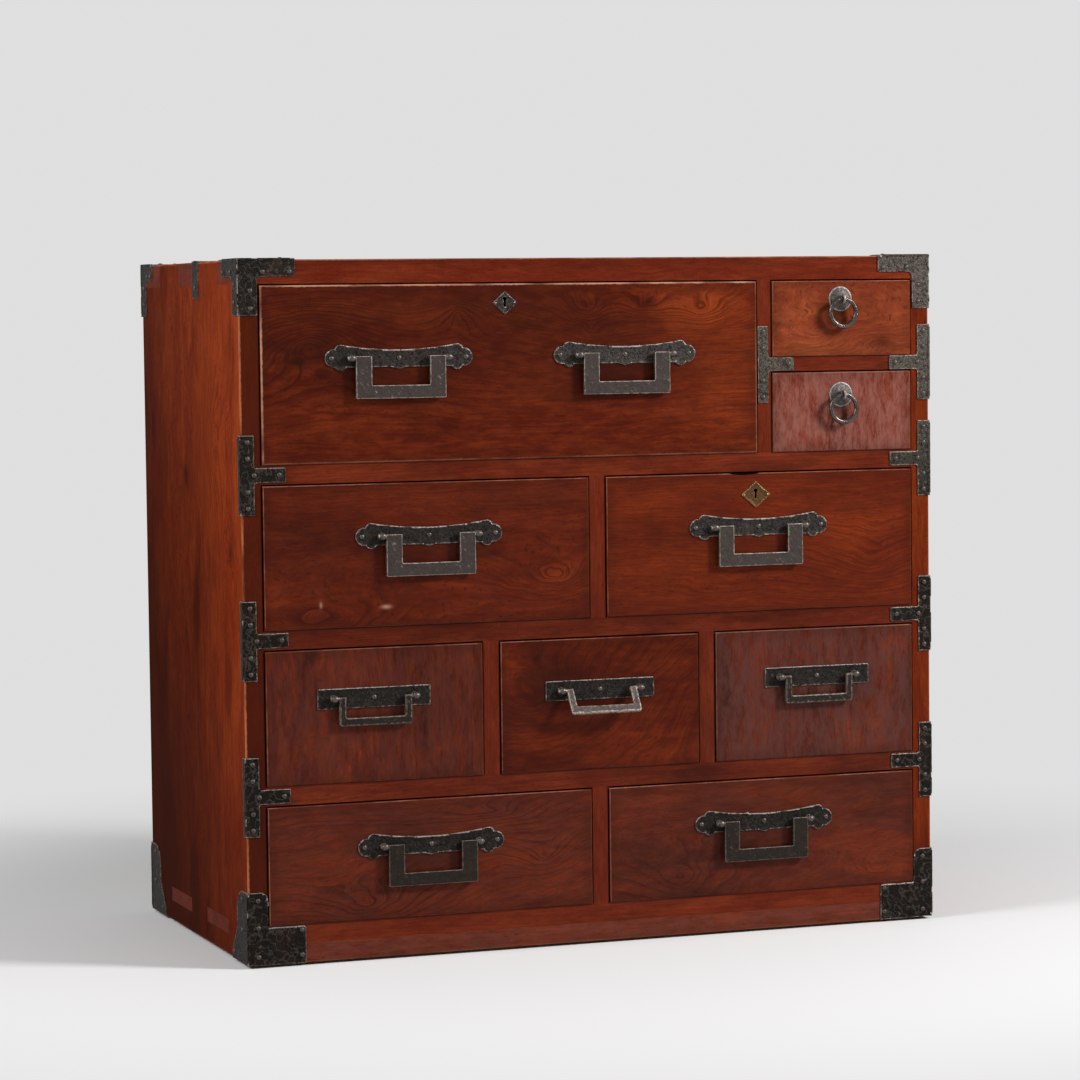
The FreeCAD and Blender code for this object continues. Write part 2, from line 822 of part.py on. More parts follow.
def upper_partition():
    """The upright board between the big drawer and the two small ones."""
    parts = partition(upper_partition_x, upper_partition_t, top_row_z, top_board_z, False)
    parts.append(stub(upper_partition_x, upper_partition_t, top_row_z - partition_stub, top_row_z))
    board = fused(parts)
    edge = upper_small_opening.x0
    shelf_top = upper_small_opening.z0
    board = board.cut([
        box(edge - rail_tenon, edge,
            front_y + rail_tenon_shoulder, rail_back_y - rail_tenon_shoulder,
            small_rail_z + rail_tenon_shoulder, shelf_top - rail_tenon_shoulder),
        box(edge - shelf_housing, edge, rail_back_y, back_board_y, shelf_top - shelf_t, shelf_top)])
    return drilled(board, CASE_NAIL_HOLES)


# ---------------------------------------------------------------- handles
def post(x, z, stand, pin_r):
    """An eyed post that holds one end of a bail, clinched over behind the drawer front."""
    pivot = Vector(x, front_face_y - stand, z)
    back = front_face_y + front_t
    latitude = math.degrees(math.asin(bead_length / 2 / bead_r))
    bead = Part.makeSphere(bead_r, pivot, Vector(1, 0, 0), -latitude, latitude, 360)
    shank = rod(post_shank_r, pivot, Vector(x, back + clinch_t / 2, z))
    clinch = box(
        x - clinch_length / 2, x + clinch_length / 2, back, back + clinch_t,
        z - clinch_width / 2, z + clinch_width / 2)
    eye = rod(
        pin_r + pin_clearance, pivot - Vector(bead_r, 0, 0), pivot + Vector(bead_r, 0, 0))
    return fused([bead, shank, clinch]).cut(eye)


def post_hole(x, z):
    """The hole for a post's shank through the plate and the drawer front."""
    reach = plate_t + front_t
    start = Vector(x, front_face_y - reach, z)
    return rod(post_shank_r + post_fit, start, Vector(x, front_face_y + reach, z))


def on_drawer(x, z):
    """A nail place on a handle plate."""
    return (Vector(x, front_face_y - plate_t, z), Vector(0, -1, 0))


def large_plate(x, z):
    """The long back plate with a sagging top edge and three-lobed ends."""
    y = front_face_y - plate_t
    half = large_plate_half

    def at(u, v):
        return Vector(x + u, y, z + v)

    foot = -large_plate_foot
    tip = foot - large_plate_cusp
    turn = large_plate_cusp_half
    edges = [
        Part.Arc(at(-half, large_plate_crest), at(0, large_plate_sag), at(half, large_plate_crest)).toShape(),
        Part.makeLine(at(half, large_plate_crest), at(half, foot)),
        Part.makeLine(at(half, foot), at(turn, foot)),
        Part.makeLine(at(turn, foot), at(0, tip)),
        Part.makeLine(at(0, tip), at(-turn, foot)),
        Part.makeLine(at(-turn, foot), at(-half, foot)),
        Part.makeLine(at(-half, foot), at(-half, large_plate_crest))]
    parts = [Part.Face(Part.Wire(edges)).extrude(Vector(0, plate_t, 0))]
    for side in (LEFT, RIGHT):
        lobes = [
            (side * half, large_lobe_rise, large_lobe_top_r),
            (side * large_lobe_end_x, 0, large_lobe_end_r),
            (side * half, -large_lobe_fall, large_lobe_foot_r)]
        for u, v, radius in lobes:
            parts.append(rod(radius, at(u, v), at(u, v) + Vector(0, plate_t, 0)))
    return fused(parts)


def medium_plate(x, z):
    """The plain rectangular back plate of the third row."""
    half_h = medium_plate_h / 2
    corners = []
    for u, v in [(-1, -1), (1, -1), (1, 1), (-1, 1)]:
        corners.append((x + u * medium_plate_half, z + v * half_h, medium_plate_corner))
    face = rounded_face(corners, lambda u, v: Vector(u, front_face_y - plate_t, v))
    return face.extrude(Vector(0, plate_t, 0))


def bail(x, z, half, arm, bar, drop, thickness, soft, corner, pin_r, stand, post_x):
    """A squared bail hanging from two pins that point outwards."""
    y = front_face_y - stand - thickness / 2
    inner = half - arm
    top = z + pin_r
    outline = [
        (x - half, top, 0), (x - half, z - drop, corner), (x + half, z - drop, corner),
        (x + half, top, 0), (x + inner, top, 0), (x + inner, z - drop + bar, soft),
        (x - inner, z - drop + bar, soft), (x - inner, top, 0)]
    face = rounded_face(outline, lambda u, v: Vector(u, y, v))
    loop = softened(face.extrude(Vector(0, thickness, 0)), soft)
    pin_y = front_face_y - stand
    end = post_x + bead_length / 2 + pin_overhang
    parts = [loop]
    for side in (LEFT, RIGHT):
        root = Vector(x + side * (half - arm / 2), pin_y, z)
        parts.append(rod(pin_r, root, Vector(x + side * end, pin_y, z)))
    return fused(parts)


@dataclass
class Handle:
    """What one handle puts on its drawer: fixed ironwork, the swinging piece and the holes."""

    ironwork: list
    swinging: object
    holes: list


def large_handle(x, z):
    """A lobed plate with two posts, three nails and a broad flat bail."""
    places = [on_drawer(x - large_nail_x, z), on_drawer(x, z), on_drawer(x + large_nail_x, z)]
    post_xs = [x - large_post_x, x + large_post_x]
    holes = nail_holes(places) + [post_hole(post_x, z) for post_x in post_xs]
    ironwork = [drilled(large_plate(x, z), holes)] + nails_at(places)
    ironwork += [post(post_x, z, large_stand, large_pin_r) for post_x in post_xs]
    swinging = bail(
        x, z, large_bail_half, large_bail_arm, large_bail_bar, large_bail_drop, large_bail_t,
        large_bail_soft, large_bail_corner, large_pin_r, large_stand, large_post_x)
    return Handle(ironwork, swinging, holes)


def medium_handle(x, z, lean=0):
    """A rectangular plate with two posts, one nail and a slender bail, which may stand out by some degrees."""
    places = [on_drawer(x, z)]
    post_xs = [x - medium_post_x, x + medium_post_x]
    holes = nail_holes(places) + [post_hole(post_x, z) for post_x in post_xs]
    ironwork = [drilled(medium_plate(x, z), holes)] + nails_at(places)
    ironwork += [post(post_x, z, medium_stand, medium_pin_r) for post_x in post_xs]
    swinging = bail(
        x, z, medium_bail_half, medium_bail_arm, medium_bail_bar, medium_bail_drop, medium_bail_t,
        medium_bail_soft, medium_bail_corner, medium_pin_r, medium_stand, medium_post_x)
    swinging.rotate(Vector(x, front_face_y - medium_stand, z), Vector(-1, 0, 0), lean)
    return Handle(ironwork, swinging, holes)


def ring_pull(x, z):
    """A domed rosette, an eye bolt through it and a round ring."""
    pivot = Vector(x, front_face_y - ring_stand, z)
    back = front_face_y + front_t
    dome_r = (rosette_r ** 2 + rosette_dome ** 2) / (2 * rosette_dome)
    latitude = math.degrees(math.asin((dome_r - rosette_dome) / dome_r))
    dome_centre = Vector(x, front_face_y - rosette_rim - rosette_dome + dome_r, z)
    rim = rod(rosette_r, Vector(x, front_face_y, z), Vector(x, front_face_y - rosette_rim, z))
    dome = Part.makeSphere(dome_r, dome_centre, Vector(0, -1, 0), latitude, 90, 360)
    hole = rod(
        eye_shank_r + post_fit, pivot, Vector(x, back + clinch_t, z))
    rosette = fused([rim, dome]).cut(hole)
    eye = rod(eye_r, pivot - Vector(eye_t / 2, 0, 0), pivot + Vector(eye_t / 2, 0, 0))
    shank = rod(eye_shank_r, pivot, Vector(x, back + clinch_t / 2, z))
    clinch = box(
        x - clinch_length / 2, x + clinch_length / 2, back, back + clinch_t,
        z - clinch_width / 2, z + clinch_width / 2)
    bore = rod(ring_wire_r + eye_clearance, pivot - Vector(eye_r, 0, 0), pivot + Vector(eye_r, 0, 0))
    eye_bolt = fused([eye, shank, clinch]).cut(bore)
    rosette = rosette.cut(rod(eye_r + post_fit, pivot - Vector(eye_t, 0, 0), pivot + Vector(eye_t, 0, 0)))
    ring = Part.makeTorus(ring_r, ring_wire_r, pivot - Vector(0, 0, ring_r), Vector(0, 1, 0))
    return Handle([rosette, eye_bolt], ring, [hole])


# ---------------------------------------------------------------- locks and escutcheons
def keyhole(x, z, y0, y1):
    """A round hole with a slot below it, through everything between two depths."""
    hole = rod(keyhole_r, Vector(x, y0, z), Vector(x, y1, z))
    slot = box(x - keyhole_slot / 2, x + keyhole_slot / 2, y0, y1, z - keyhole_drop, z)
    return fused([hole, slot])


def diamond(x, z, width, height, y0):
    """A four-cornered escutcheon blank standing on one corner."""
    corners = [(x, z - height / 2, 0), (x + width / 2, z, 0), (x, z + height / 2, 0), (x - width / 2, z, 0)]
    return rounded_face(corners, lambda u, v: Vector(u, y0, v)).extrude(Vector(0, escutcheon_t, 0))


def iron_escutcheon(x, z):
    """The plain iron diamond round the big drawer's keyhole."""
    y0 = front_face_y - escutcheon_t
    blank = diamond(x, z, iron_escutcheon_width, iron_escutcheon_h, y0)
    return blank.cut(keyhole(x, z + keyhole_drop / 2, y0, front_face_y))


def brass_escutcheon(x, z):
    """The brass diamond, with a scallop out of each side, round the other keyhole."""
    y0 = front_face_y - escutcheon_t
    blank = diamond(x, z, brass_escutcheon_width, brass_escutcheon_h, y0)
    cuts = [keyhole(x, z + keyhole_drop / 2, y0, front_face_y)]
    outward = brass_scallop_r / 2
    for u, v in [(-1, -1), (1, -1), (1, 1), (-1, 1)]:
        centre_x = x + u * (brass_escutcheon_width / 4 + outward)
        centre_z = z + v * (brass_escutcheon_h / 4 + outward)
        cuts.append(rod(brass_scallop_r, Vector(centre_x, y0, centre_z), Vector(centre_x, front_face_y, centre_z)))
    return blank.cut(cuts)


def lock_case(x, front_top, key_z):
    """The iron box behind a drawer front, open at the top for its bolt."""
    y0 = front_face_y + front_t
    y1 = y0 + lock_depth
    top = front_top - lock_top_gap
    shell = box(x - lock_width / 2, x + lock_width / 2, y0, y1, top - lock_h, top)
    half_x = bolt_width / 2 + bolt_clearance
    half_y = bolt_t / 2 + bolt_clearance
    channel = box(
        x - half_x, x + half_x, lock_mid_y - half_y, lock_mid_y + half_y, top - lock_h + lock_wall, top)
    return shell.cut([channel, keyhole(x, key_z, y0, lock_mid_y)])


def lock_bolt(x, front_top):
    """The bolt in its lowered, unlocked place."""
    top = front_top - lock_top_gap - bolt_sink
    half_y = bolt_t / 2
    bar = box(
        x - bolt_width / 2, x + bolt_width / 2, lock_mid_y - half_y, lock_mid_y + half_y, top - bolt_h, top)
    key_notch = rod(
        keyhole_r, Vector(x, lock_mid_y - bolt_t, top - bolt_h), Vector(x, lock_mid_y + bolt_t, top - bolt_h))
    return bar.cut(key_notch)


# ---------------------------------------------------------------- drawers
def front_board(opening, holes, extra_cuts):
    """A drawer front, rounded in front, rebated for its sides and grooved for its bottom."""
    x0 = opening.x0 + front_side_gap
    x1 = opening.x1 - front_side_gap
    z0 = opening.z0 + running_gap
    z1 = opening.z1 - front_top_gap
    back = front_face_y + front_t
    board = box(x0, x1, front_face_y, back, z0, z1)
    face_edges = [edge for edge in board.Edges if abs(edge.BoundBox.YMax - front_face_y) < running_gap]
    board = board.makeFillet(front_round, face_edges)
    lap = back - drawer_side_lap
    bottom = z0 + drawer_bottom_raise
    inner0 = x0 + drawer_side_t
    inner1 = x1 - drawer_side_t
    cuts = [
        box(x0, inner0, lap, back, z0, z1),
        box(inner1, x1, lap, back, z0, z1),
        box(inner0, inner1, back - drawer_groove, back, bottom, bottom + drawer_bottom_t)]
    return drilled(board.cut(cuts + extra_cuts), holes)


def drawer_box(opening):
    """The two sides, the back and the bottom of a drawer."""
    x0 = opening.x0 + front_side_gap
    x1 = opening.x1 - front_side_gap
    z0 = opening.z0 + running_gap
    z1 = opening.z1 - front_top_gap - drawer_side_drop
    front_back = front_face_y + front_t
    rear = back_board_y - drawer_rear_gap
    bottom = z0 + drawer_bottom_raise
    bottom_top = bottom + drawer_bottom_t
    inner0 = x0 + drawer_side_t
    inner1 = x1 - drawer_side_t
    lap = front_back - drawer_side_lap
    left = box(x0, inner0, lap, rear, z0, z1)
    left = left.cut(box(inner0 - drawer_groove, inner0, front_back, rear, bottom, bottom_top))
    right = box(inner1, x1, lap, rear, z0, z1)
    right = right.cut(box(inner1, inner1 + drawer_groove, front_back, rear, bottom, bottom_top))
    panel = fused([
        box(inner0 - drawer_groove, inner1 + drawer_groove, front_back, rear, bottom, bottom_top),
        box(inner0, inner1, front_back - drawer_groove, front_back, bottom, bottom_top)])
    back = box(inner0, inner1, rear - drawer_back_t, rear, bottom_top, z1 - drawer_back_drop)
    return [left, right, back, panel]


def worn_chip(opening):
    """The shallow chip out of the top edge of the second row's right drawer."""
    rise = chip_length ** 2 / (8 * chip_depth) - chip_depth / 2
    x = opening.x0 + chip_from_left
    z = opening.z1 - front_top_gap + rise
    start = Vector(x, front_face_y - front_proud, z)
    end = Vector(x, front_face_y + front_t / 2, z)
    return rod(rise + chip_depth, start, end)


def front_top(opening):
    """Height of the top edge of a drawer front."""
    return opening.z1 - front_top_gap


def handle_z(opening, rise):
    """Height of a handle's pivot on the drawer of an opening."""
    return opening.middle_z() + rise


BIG_HANDLES_MIDDLE = big_opening.middle_x() + big_drawer_handle_shift
BIG_Z = handle_z(big_opening, big_drawer_handle_rise)
HANDLES = {
    "big_drawer_left": large_handle(BIG_HANDLES_MIDDLE - big_drawer_handle_x, BIG_Z),
    "big_drawer_right": large_handle(BIG_HANDLES_MIDDLE + big_drawer_handle_x, BIG_Z),
    "upper_small_drawer": ring_pull(
        upper_small_opening.middle_x() + ring_shift, handle_z(upper_small_opening, upper_ring_rise)),
    "lower_small_drawer": ring_pull(
        lower_small_opening.middle_x() + ring_shift, handle_z(lower_small_opening, lower_ring_rise)),
    "second_left_drawer": large_handle(
        second_left_opening.middle_x(), handle_z(second_left_opening, second_left_handle_rise)),
    "second_right_drawer": large_handle(
        second_right_opening.middle_x() + second_right_handle_shift,
        handle_z(second_right_opening, second_right_handle_rise)),
    "third_left_drawer": medium_handle(
        third_left_opening.middle_x() + third_left_handle_shift,
        handle_z(third_left_opening, third_row_handle_rise)),
    "third_middle_drawer": medium_handle(
        third_middle_opening.middle_x() + third_middle_handle_shift,
        handle_z(third_middle_opening, third_middle_handle_rise), medium_bail_lean),
    "third_right_drawer": medium_handle(
        third_right_opening.middle_x() + third_right_handle_shift,
        handle_z(third_right_opening, third_row_handle_rise)),
    "bottom_left_drawer": large_handle(
        bottom_left_opening.middle_x() + bottom_left_handle_shift,
        handle_z(bottom_left_opening, bottom_left_handle_rise)),
    "bottom_right_drawer": large_handle(
        bottom_right_opening.middle_x(), handle_z(bottom_right_opening, bottom_right_handle_rise)),
}

DRAWERS = {
    "big_drawer": (big_opening, ["big_drawer_left", "big_drawer_right"]),
    "upper_small_drawer": (upper_small_opening, ["upper_small_drawer"]),
    "lower_small_drawer": (lower_small_opening, ["lower_small_drawer"]),
    "second_left_drawer": (second_left_opening, ["second_left_drawer"]),
    "second_right_drawer": (second_right_opening, ["second_right_drawer"]),
    "third_left_drawer": (third_left_opening, ["third_left_drawer"]),
    "third_middle_drawer": (third_middle_opening, ["third_middle_drawer"]),
    "third_right_drawer": (third_right_opening, ["third_right_drawer"]),
    "bottom_left_drawer": (bottom_left_opening, ["bottom_left_drawer"]),
    "bottom_right_drawer": (bottom_right_opening, ["bottom_right_drawer"]),
}

BIG_KEY_Z = front_top(big_opening) - iron_escutcheon_drop
RIGHT_KEY_Z = front_top(second_right_opening) - brass_escutcheon_drop


def drawer_nodes(name):
    """A drawer's front, box and ironwork, and the bail or ring of each of its handles."""
    opening, handle_names = DRAWERS[name]
    handles = [HANDLES[handle_name] for handle_name in handle_names]
    holes = [hole for handle in handles for hole in handle.holes]
    ironwork = [solid for handle in handles for solid in handle.ironwork]
    back = front_face_y + front_t
    extra_cuts = []
    if name == "big_drawer":
        extra_cuts.append(keyhole(big_lock_x, BIG_KEY_Z + keyhole_drop / 2, front_face_y, back))
        ironwork.append(iron_escutcheon(big_lock_x, BIG_KEY_Z))
    if name == "second_right_drawer":
        extra_cuts.append(keyhole(right_lock_x, RIGHT_KEY_Z + keyhole_drop / 2, front_face_y, back))
        extra_cuts.append(worn_chip(opening))
    nodes = {
        name + "_front": [front_board(opening, holes, extra_cuts)],
        name + "_box": drawer_box(opening),
        name + "_ironwork": ironwork,
    }
    for handle_name, handle in zip(handle_names, handles):
        is_ring = name.endswith("small_drawer")
        nodes[handle_name + ("_ring" if is_ring else "_bail")] = [handle.swinging]
    return nodes


def lock_nodes():
    """The two locks and the brass escutcheon."""
    big_top = front_top(big_opening)
    right_top = front_top(second_right_opening)
    return {
        "big_drawer_lock_case": [lock_case(big_lock_x, big_top, BIG_KEY_Z + keyhole_drop / 2)],
        "big_drawer_lock_bolt": [lock_bolt(big_lock_x, big_top)],
        "second_right_drawer_lock_case": [
            lock_case(right_lock_x, right_top, RIGHT_KEY_Z + keyhole_drop / 2)],
        "second_right_drawer_lock_bolt": [lock_bolt(right_lock_x, right_top)],
        "brass_escutcheon": [brass_escutcheon(right_lock_x, RIGHT_KEY_Z)],
    }


def case_nodes():
    """Everything that stays still."""
    return {
        "side_left": [side_board(LEFT)],
        "side_right": [side_board(RIGHT)],
        "top_board": [top_board()],
        "bottom_board": [bottom_board()],
        "back_boards": back_boards(),
        "base_rails": base_rails(),
        "skids": skids(),
        "front_rails": front_rails(),
        "shelf_boards": shelf_boards(),
        "upper_partition": [upper_partition()],
        "lower_partitions": lower_partitions(),
        "corner_irons": [drilled(iron, CASE_NAIL_HOLES) for iron in CORNER_IRONS],
        "edge_straps": [drilled(strap, CASE_NAIL_HOLES) for strap in EDGE_STRAPS],
        "case_nails": nails_at(CASE_NAIL_PLACES),
    }


def all_nodes():
    """Every node of the chest by name, each a list of its solids."""
    nodes = case_nodes()
    for name in DRAWERS:
        nodes.update(drawer_nodes(name))
    nodes.update(lock_nodes())
    return nodes


os.makedirs("parts", exist_ok=True)
for node_name, solids in all_nodes().items():
    shape = solids[0] if len(solids) == 1 else Part.makeCompound(solids)
    shape.exportStep("parts/" + node_name + ".step")
    print(node_name, len(shape.Solids), round(shape.Volume / 1000, 2), "cm3", shape.isValid())
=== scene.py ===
"""Looks of the small tansu chest: lacquered boards, hammered ironwork, brass and the studio round them."""

import dataclasses
import json
import logging
import math
import random
from collections.abc import Iterable, Sequence
from dataclasses import dataclass
from enum import Enum

import bmesh
import bpy
from bmesh.types import BMEdge, BMesh, BMFace, BMVert
from bpy.types import Material, Node, NodeSocket, NodeTree, Object
from mathutils import Matrix, Vector, noise

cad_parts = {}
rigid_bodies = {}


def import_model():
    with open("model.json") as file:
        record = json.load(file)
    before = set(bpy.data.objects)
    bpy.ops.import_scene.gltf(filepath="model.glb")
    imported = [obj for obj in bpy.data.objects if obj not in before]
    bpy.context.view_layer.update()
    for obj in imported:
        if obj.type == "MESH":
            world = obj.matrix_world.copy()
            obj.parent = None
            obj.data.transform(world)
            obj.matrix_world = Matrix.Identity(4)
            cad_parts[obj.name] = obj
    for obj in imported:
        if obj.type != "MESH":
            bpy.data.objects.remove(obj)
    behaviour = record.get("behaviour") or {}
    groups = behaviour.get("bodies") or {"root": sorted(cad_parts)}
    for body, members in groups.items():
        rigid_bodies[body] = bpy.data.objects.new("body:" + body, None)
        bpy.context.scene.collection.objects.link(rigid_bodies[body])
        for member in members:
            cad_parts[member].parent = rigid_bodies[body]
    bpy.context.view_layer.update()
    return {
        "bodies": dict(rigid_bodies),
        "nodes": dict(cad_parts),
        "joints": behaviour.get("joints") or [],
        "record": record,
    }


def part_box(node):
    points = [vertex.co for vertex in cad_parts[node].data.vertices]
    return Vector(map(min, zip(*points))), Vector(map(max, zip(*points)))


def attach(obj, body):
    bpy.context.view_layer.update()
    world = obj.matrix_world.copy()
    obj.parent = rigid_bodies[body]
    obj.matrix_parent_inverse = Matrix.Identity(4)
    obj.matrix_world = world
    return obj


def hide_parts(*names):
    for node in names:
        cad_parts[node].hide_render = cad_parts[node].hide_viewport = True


LOG = logging.getLogger("tansu")
MM = 0.001
HAMMER_SEED = 5
CUT_REACH = 0.08 * MM

RIGHT = Vector((1, 0, 0)).freeze()
UP = Vector((0, 0, 1)).freeze()
FORWARD = Vector((0, -1, 0)).freeze()
BACKWARD = Vector((0, 1, 0)).freeze()

Colour = tuple[float, float, float, float]
Feed = NodeSocket | float | Sequence[float]
Triple = tuple[float, float, float]
Corners = Sequence[Triple]


def paint(red: float, green: float, blue: float) -> Colour:
    """An opaque colour from its linear shares."""
    return (red, green, blue, 1.0)


# ---------- boxes of the CAD nodes
@dataclass(frozen=True)
class Block:
    """The space between a lowest and a highest corner."""

    low: Vector
    high: Vector

    @classmethod
    def of(cls, *nodes: str) -> "Block":
        """The box round one or more CAD nodes.

        Args:
            nodes: Names of the nodes.

        Returns:
            The smallest block that holds them all.
        """
        boxes = [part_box(node) for node in nodes]
        low = Vector([min(box[0][axis] for box in boxes) for axis in range(3)])
        high = Vector([max(box[1][axis] for box in boxes) for axis in range(3)])
        return cls(low, high)

    @property
    def middle(self) -> Vector:
        """The block's centre."""
        return (self.low + self.high) / 2

    @property
    def half(self) -> Vector:
        """Half of the block's size along each axis."""
        return (self.high - self.low) / 2


# ---------- node graphs
class Graph:
    """Adds nodes to one node tree and joins them."""

    def __init__(self, tree: NodeTree) -> None:
        """Keeps the tree to work on."""
        self.tree = tree

    def add(self, kind: str, **settings: object) -> Node:
        """Adds a node and sets its options.

        Args:
            kind: The node's type name.
            settings: Node options by name.

        Returns:
            The new node.
        """
        node = self.tree.nodes.new(kind)
        for name, value in settings.items():
            setattr(node, name, value)
        return node

    def feed(self, target: NodeSocket, source: Feed) -> None:
        """Links a socket to the target, or writes a plain value on it."""
        if isinstance(source, NodeSocket):
            self.tree.links.new(source, target)
        else:
            target.default_value = source

    def fill(self, node: Node, values: dict[str, Feed]) -> None:
        """Feeds a node's sockets by name."""
        for name, value in values.items():
            self.feed(node.inputs[name], value)

    def math(self, operation: str, *values: Feed) -> NodeSocket:
        """A Math node's result for one to three values."""
        node = self.add("ShaderNodeMath", operation=operation)
        for target, value in zip(node.inputs, values):
            self.feed(target, value)
        return node.outputs[0]

    def times(self, first: Feed, second: Feed) -> NodeSocket:
        """Two numbers multiplied."""
        return self.math("MULTIPLY", first, second)

    def plus(self, first: Feed, second: Feed) -> NodeSocket:
        """Two numbers added."""
        return self.math("ADD", first, second)

    def more(self, base: Feed, extra: Feed, factor: Feed) -> NodeSocket:
        """A number with a second one, times a factor, added to it."""
        return self.plus(base, self.times(extra, factor))

    def minus(self, first: Feed, second: Feed) -> NodeSocket:
        """The first number less the second."""
        return self.math("SUBTRACT", first, second)

    def vector(self, operation: str, *values: Feed) -> NodeSocket:
        """A Vector Math node's vector for one or two vectors."""
        node = self.add("ShaderNodeVectorMath", operation=operation)
        for target, value in zip(node.inputs, values):
            self.feed(target, value)
        return node.outputs["Vector"]

    def scaled(self, value: Feed, factor: Feed) -> NodeSocket:
        """A vector times a number."""
        node = self.add("ShaderNodeVectorMath", operation="SCALE")
        self.feed(node.inputs[0], value)
        self.feed(node.inputs["Scale"], factor)
        return node.outputs["Vector"]

    def split(self, value: Feed) -> list[NodeSocket]:
        """The three parts of a vector."""
        node = self.add("ShaderNodeSeparateXYZ")
        self.feed(node.inputs[0], value)
        return list(node.outputs)

    def joined(self, x: Feed, y: Feed, z: Feed) -> NodeSocket:
        """A vector from three numbers."""
        node = self.add("ShaderNodeCombineXYZ")
        for target, value in zip(node.inputs, (x, y, z)):
            self.feed(target, value)
        return node.outputs[0]

    def step(self, value: Feed, start: float, end: float) -> NodeSocket:
        """A smooth step from 0 at start to 1 at end; start may be the larger.

        Args:
            value: What is compared.
            start: Where the step leaves 0.
            end: Where it reaches 1.

        Returns:
            The step.
        """
        node = self.add("ShaderNodeMapRange", interpolation_type="SMOOTHSTEP")
        rising = start < end
        self.fill(node, {
            "Value": value, "From Min": min(start, end), "From Max": max(start, end),
            "To Min": 0.0 if rising else 1.0, "To Max": 1.0 if rising else 0.0})
        return node.outputs["Result"]

    def cloud(self, place: Feed, scale: float, detail: float = 2.0, rough: float = 0.5) -> Node:
        """A 3-D noise node at a place."""
        node = self.add("ShaderNodeTexNoise", noise_dimensions="3D")
        self.fill(node, {"Vector": place, "Scale": scale, "Detail": detail, "Roughness": rough})
        return node

    def patches(self, place: Feed, scale: float, detail: float = 2.0, rough: float = 0.5) -> NodeSocket:
        """The shares of a 3-D noise at a place."""
        return self.cloud(place, scale, detail, rough).outputs["Fac"]

    def wave(self, value: Feed, scale: float) -> NodeSocket:
        """Noise along one number."""
        node = self.add("ShaderNodeTexNoise", noise_dimensions="1D")
        self.fill(node, {"W": value, "Scale": scale, "Detail": 1.0})
        return node.outputs["Fac"]

    def blend(self, share: Feed, first: Feed, second: Feed, mode: str = "MIX") -> NodeSocket:
        """Two colours mixed by a share.

        Args:
            share: How much of the second there is.
            first: The colour at 0.
            second: The colour at 1.
            mode: How they are mixed.

        Returns:
            The mixed colour.
        """
        node = self.add("ShaderNodeMix", data_type="RGBA", blend_type=mode)
        self.feed(node.inputs["Factor"], share)
        self.feed(node.inputs[6], first)
        self.feed(node.inputs[7], second)
        return node.outputs[2]

    def tint(self, colour: Feed, mask: Feed, share: float, other: Colour) -> NodeSocket:
        """A colour that turns to another where a mask is 1, as far as a share."""
        return self.blend(self.times(mask, share), colour, other)

    def group(self, tree: NodeTree, **inputs: Feed) -> Node:
        """Places a shared group and feeds its named inputs."""
        node = self.add("ShaderNodeGroup", node_tree=tree)
        self.fill(node, inputs)
        return node

    def relief(self, shader: Node, height: Feed, distance: float, strength: float) -> None:
        """Raises a shader's surface by a height, through a Bump node."""
        bump = self.add("ShaderNodeBump")
        self.fill(bump, {"Height": height, "Distance": distance, "Strength": strength})
        self.feed(shader.inputs["Normal"], bump.outputs["Normal"])


class SocketKind(Enum):
    """What a shared group's socket carries."""

    NUMBER = "NodeSocketFloat"
    PLACE = "NodeSocketVector"


class SharedGroup:
    """A node group that several finishes use, built once."""

    def __init__(self, name: str, inputs: dict[str, SocketKind], outputs: dict[str, SocketKind]) -> None:
        """Makes the group's tree and its named sockets.

        Args:
            name: The group's name.
            inputs: Its input sockets by name.
            outputs: Its output sockets by name.
        """
        self.tree = bpy.data.node_groups.new(name, "ShaderNodeTree")
        for socket, kind in inputs.items():
            self.tree.interface.new_socket(socket, in_out="INPUT", socket_type=kind.value)
        for socket, kind in outputs.items():
            self.tree.interface.new_socket(socket, in_out="OUTPUT", socket_type=kind.value)
        self.graph = Graph(self.tree)
        self.entry = self.graph.add("NodeGroupInput").outputs
        self.exit = self.graph.add("NodeGroupOutput").inputs

    def give(self, **results: Feed) -> NodeTree:
        """Feeds the group's outputs by name and returns its tree."""
        for name, value in results.items():
            self.graph.feed(self.exit[name], value)
        return self.tree


HALF = (0.5, 0.5, 0.5)
SLOW_WANDER = (0.0045, 0.013, 0.013)
QUICK_WANDER = (0.022, 0.06, 0.06)
QUICK_SHARE = 0.25
CUSP_EASE = 0.02


def swirl_group() -> NodeTree:
    """A soft oval hill about a point, used for knots, dark marks, bright patches, and painted light and
    shade.

    Returns:
        A group whose Hill is Rise at Centre and fades to nothing about one Reach away, and whose Peak falls
        evenly.
    """
    kinds = SocketKind
    shared = SharedGroup(
        "swirl", {"Place": kinds.PLACE, "Centre": kinds.PLACE, "Reach": kinds.PLACE, "Rise": kinds.NUMBER},
        {"Hill": kinds.NUMBER, "Peak": kinds.NUMBER})
    graph = shared.graph
    entry = shared.entry
    offset = graph.vector("SUBTRACT", entry["Place"], entry["Centre"])
    share = graph.vector("DIVIDE", offset, entry["Reach"])
    along, _, across = graph.split(share)
    square = graph.more(graph.times(along, along), across, across)
    fade = graph.math("EXPONENT", graph.times(square, -1.0))
    slope = graph.math("EXPONENT", graph.times(graph.math("SQRT", graph.plus(square, CUSP_EASE)), -1.0))
    return shared.give(Hill=graph.times(fade, entry["Rise"]), Peak=graph.times(slope, entry["Rise"]))


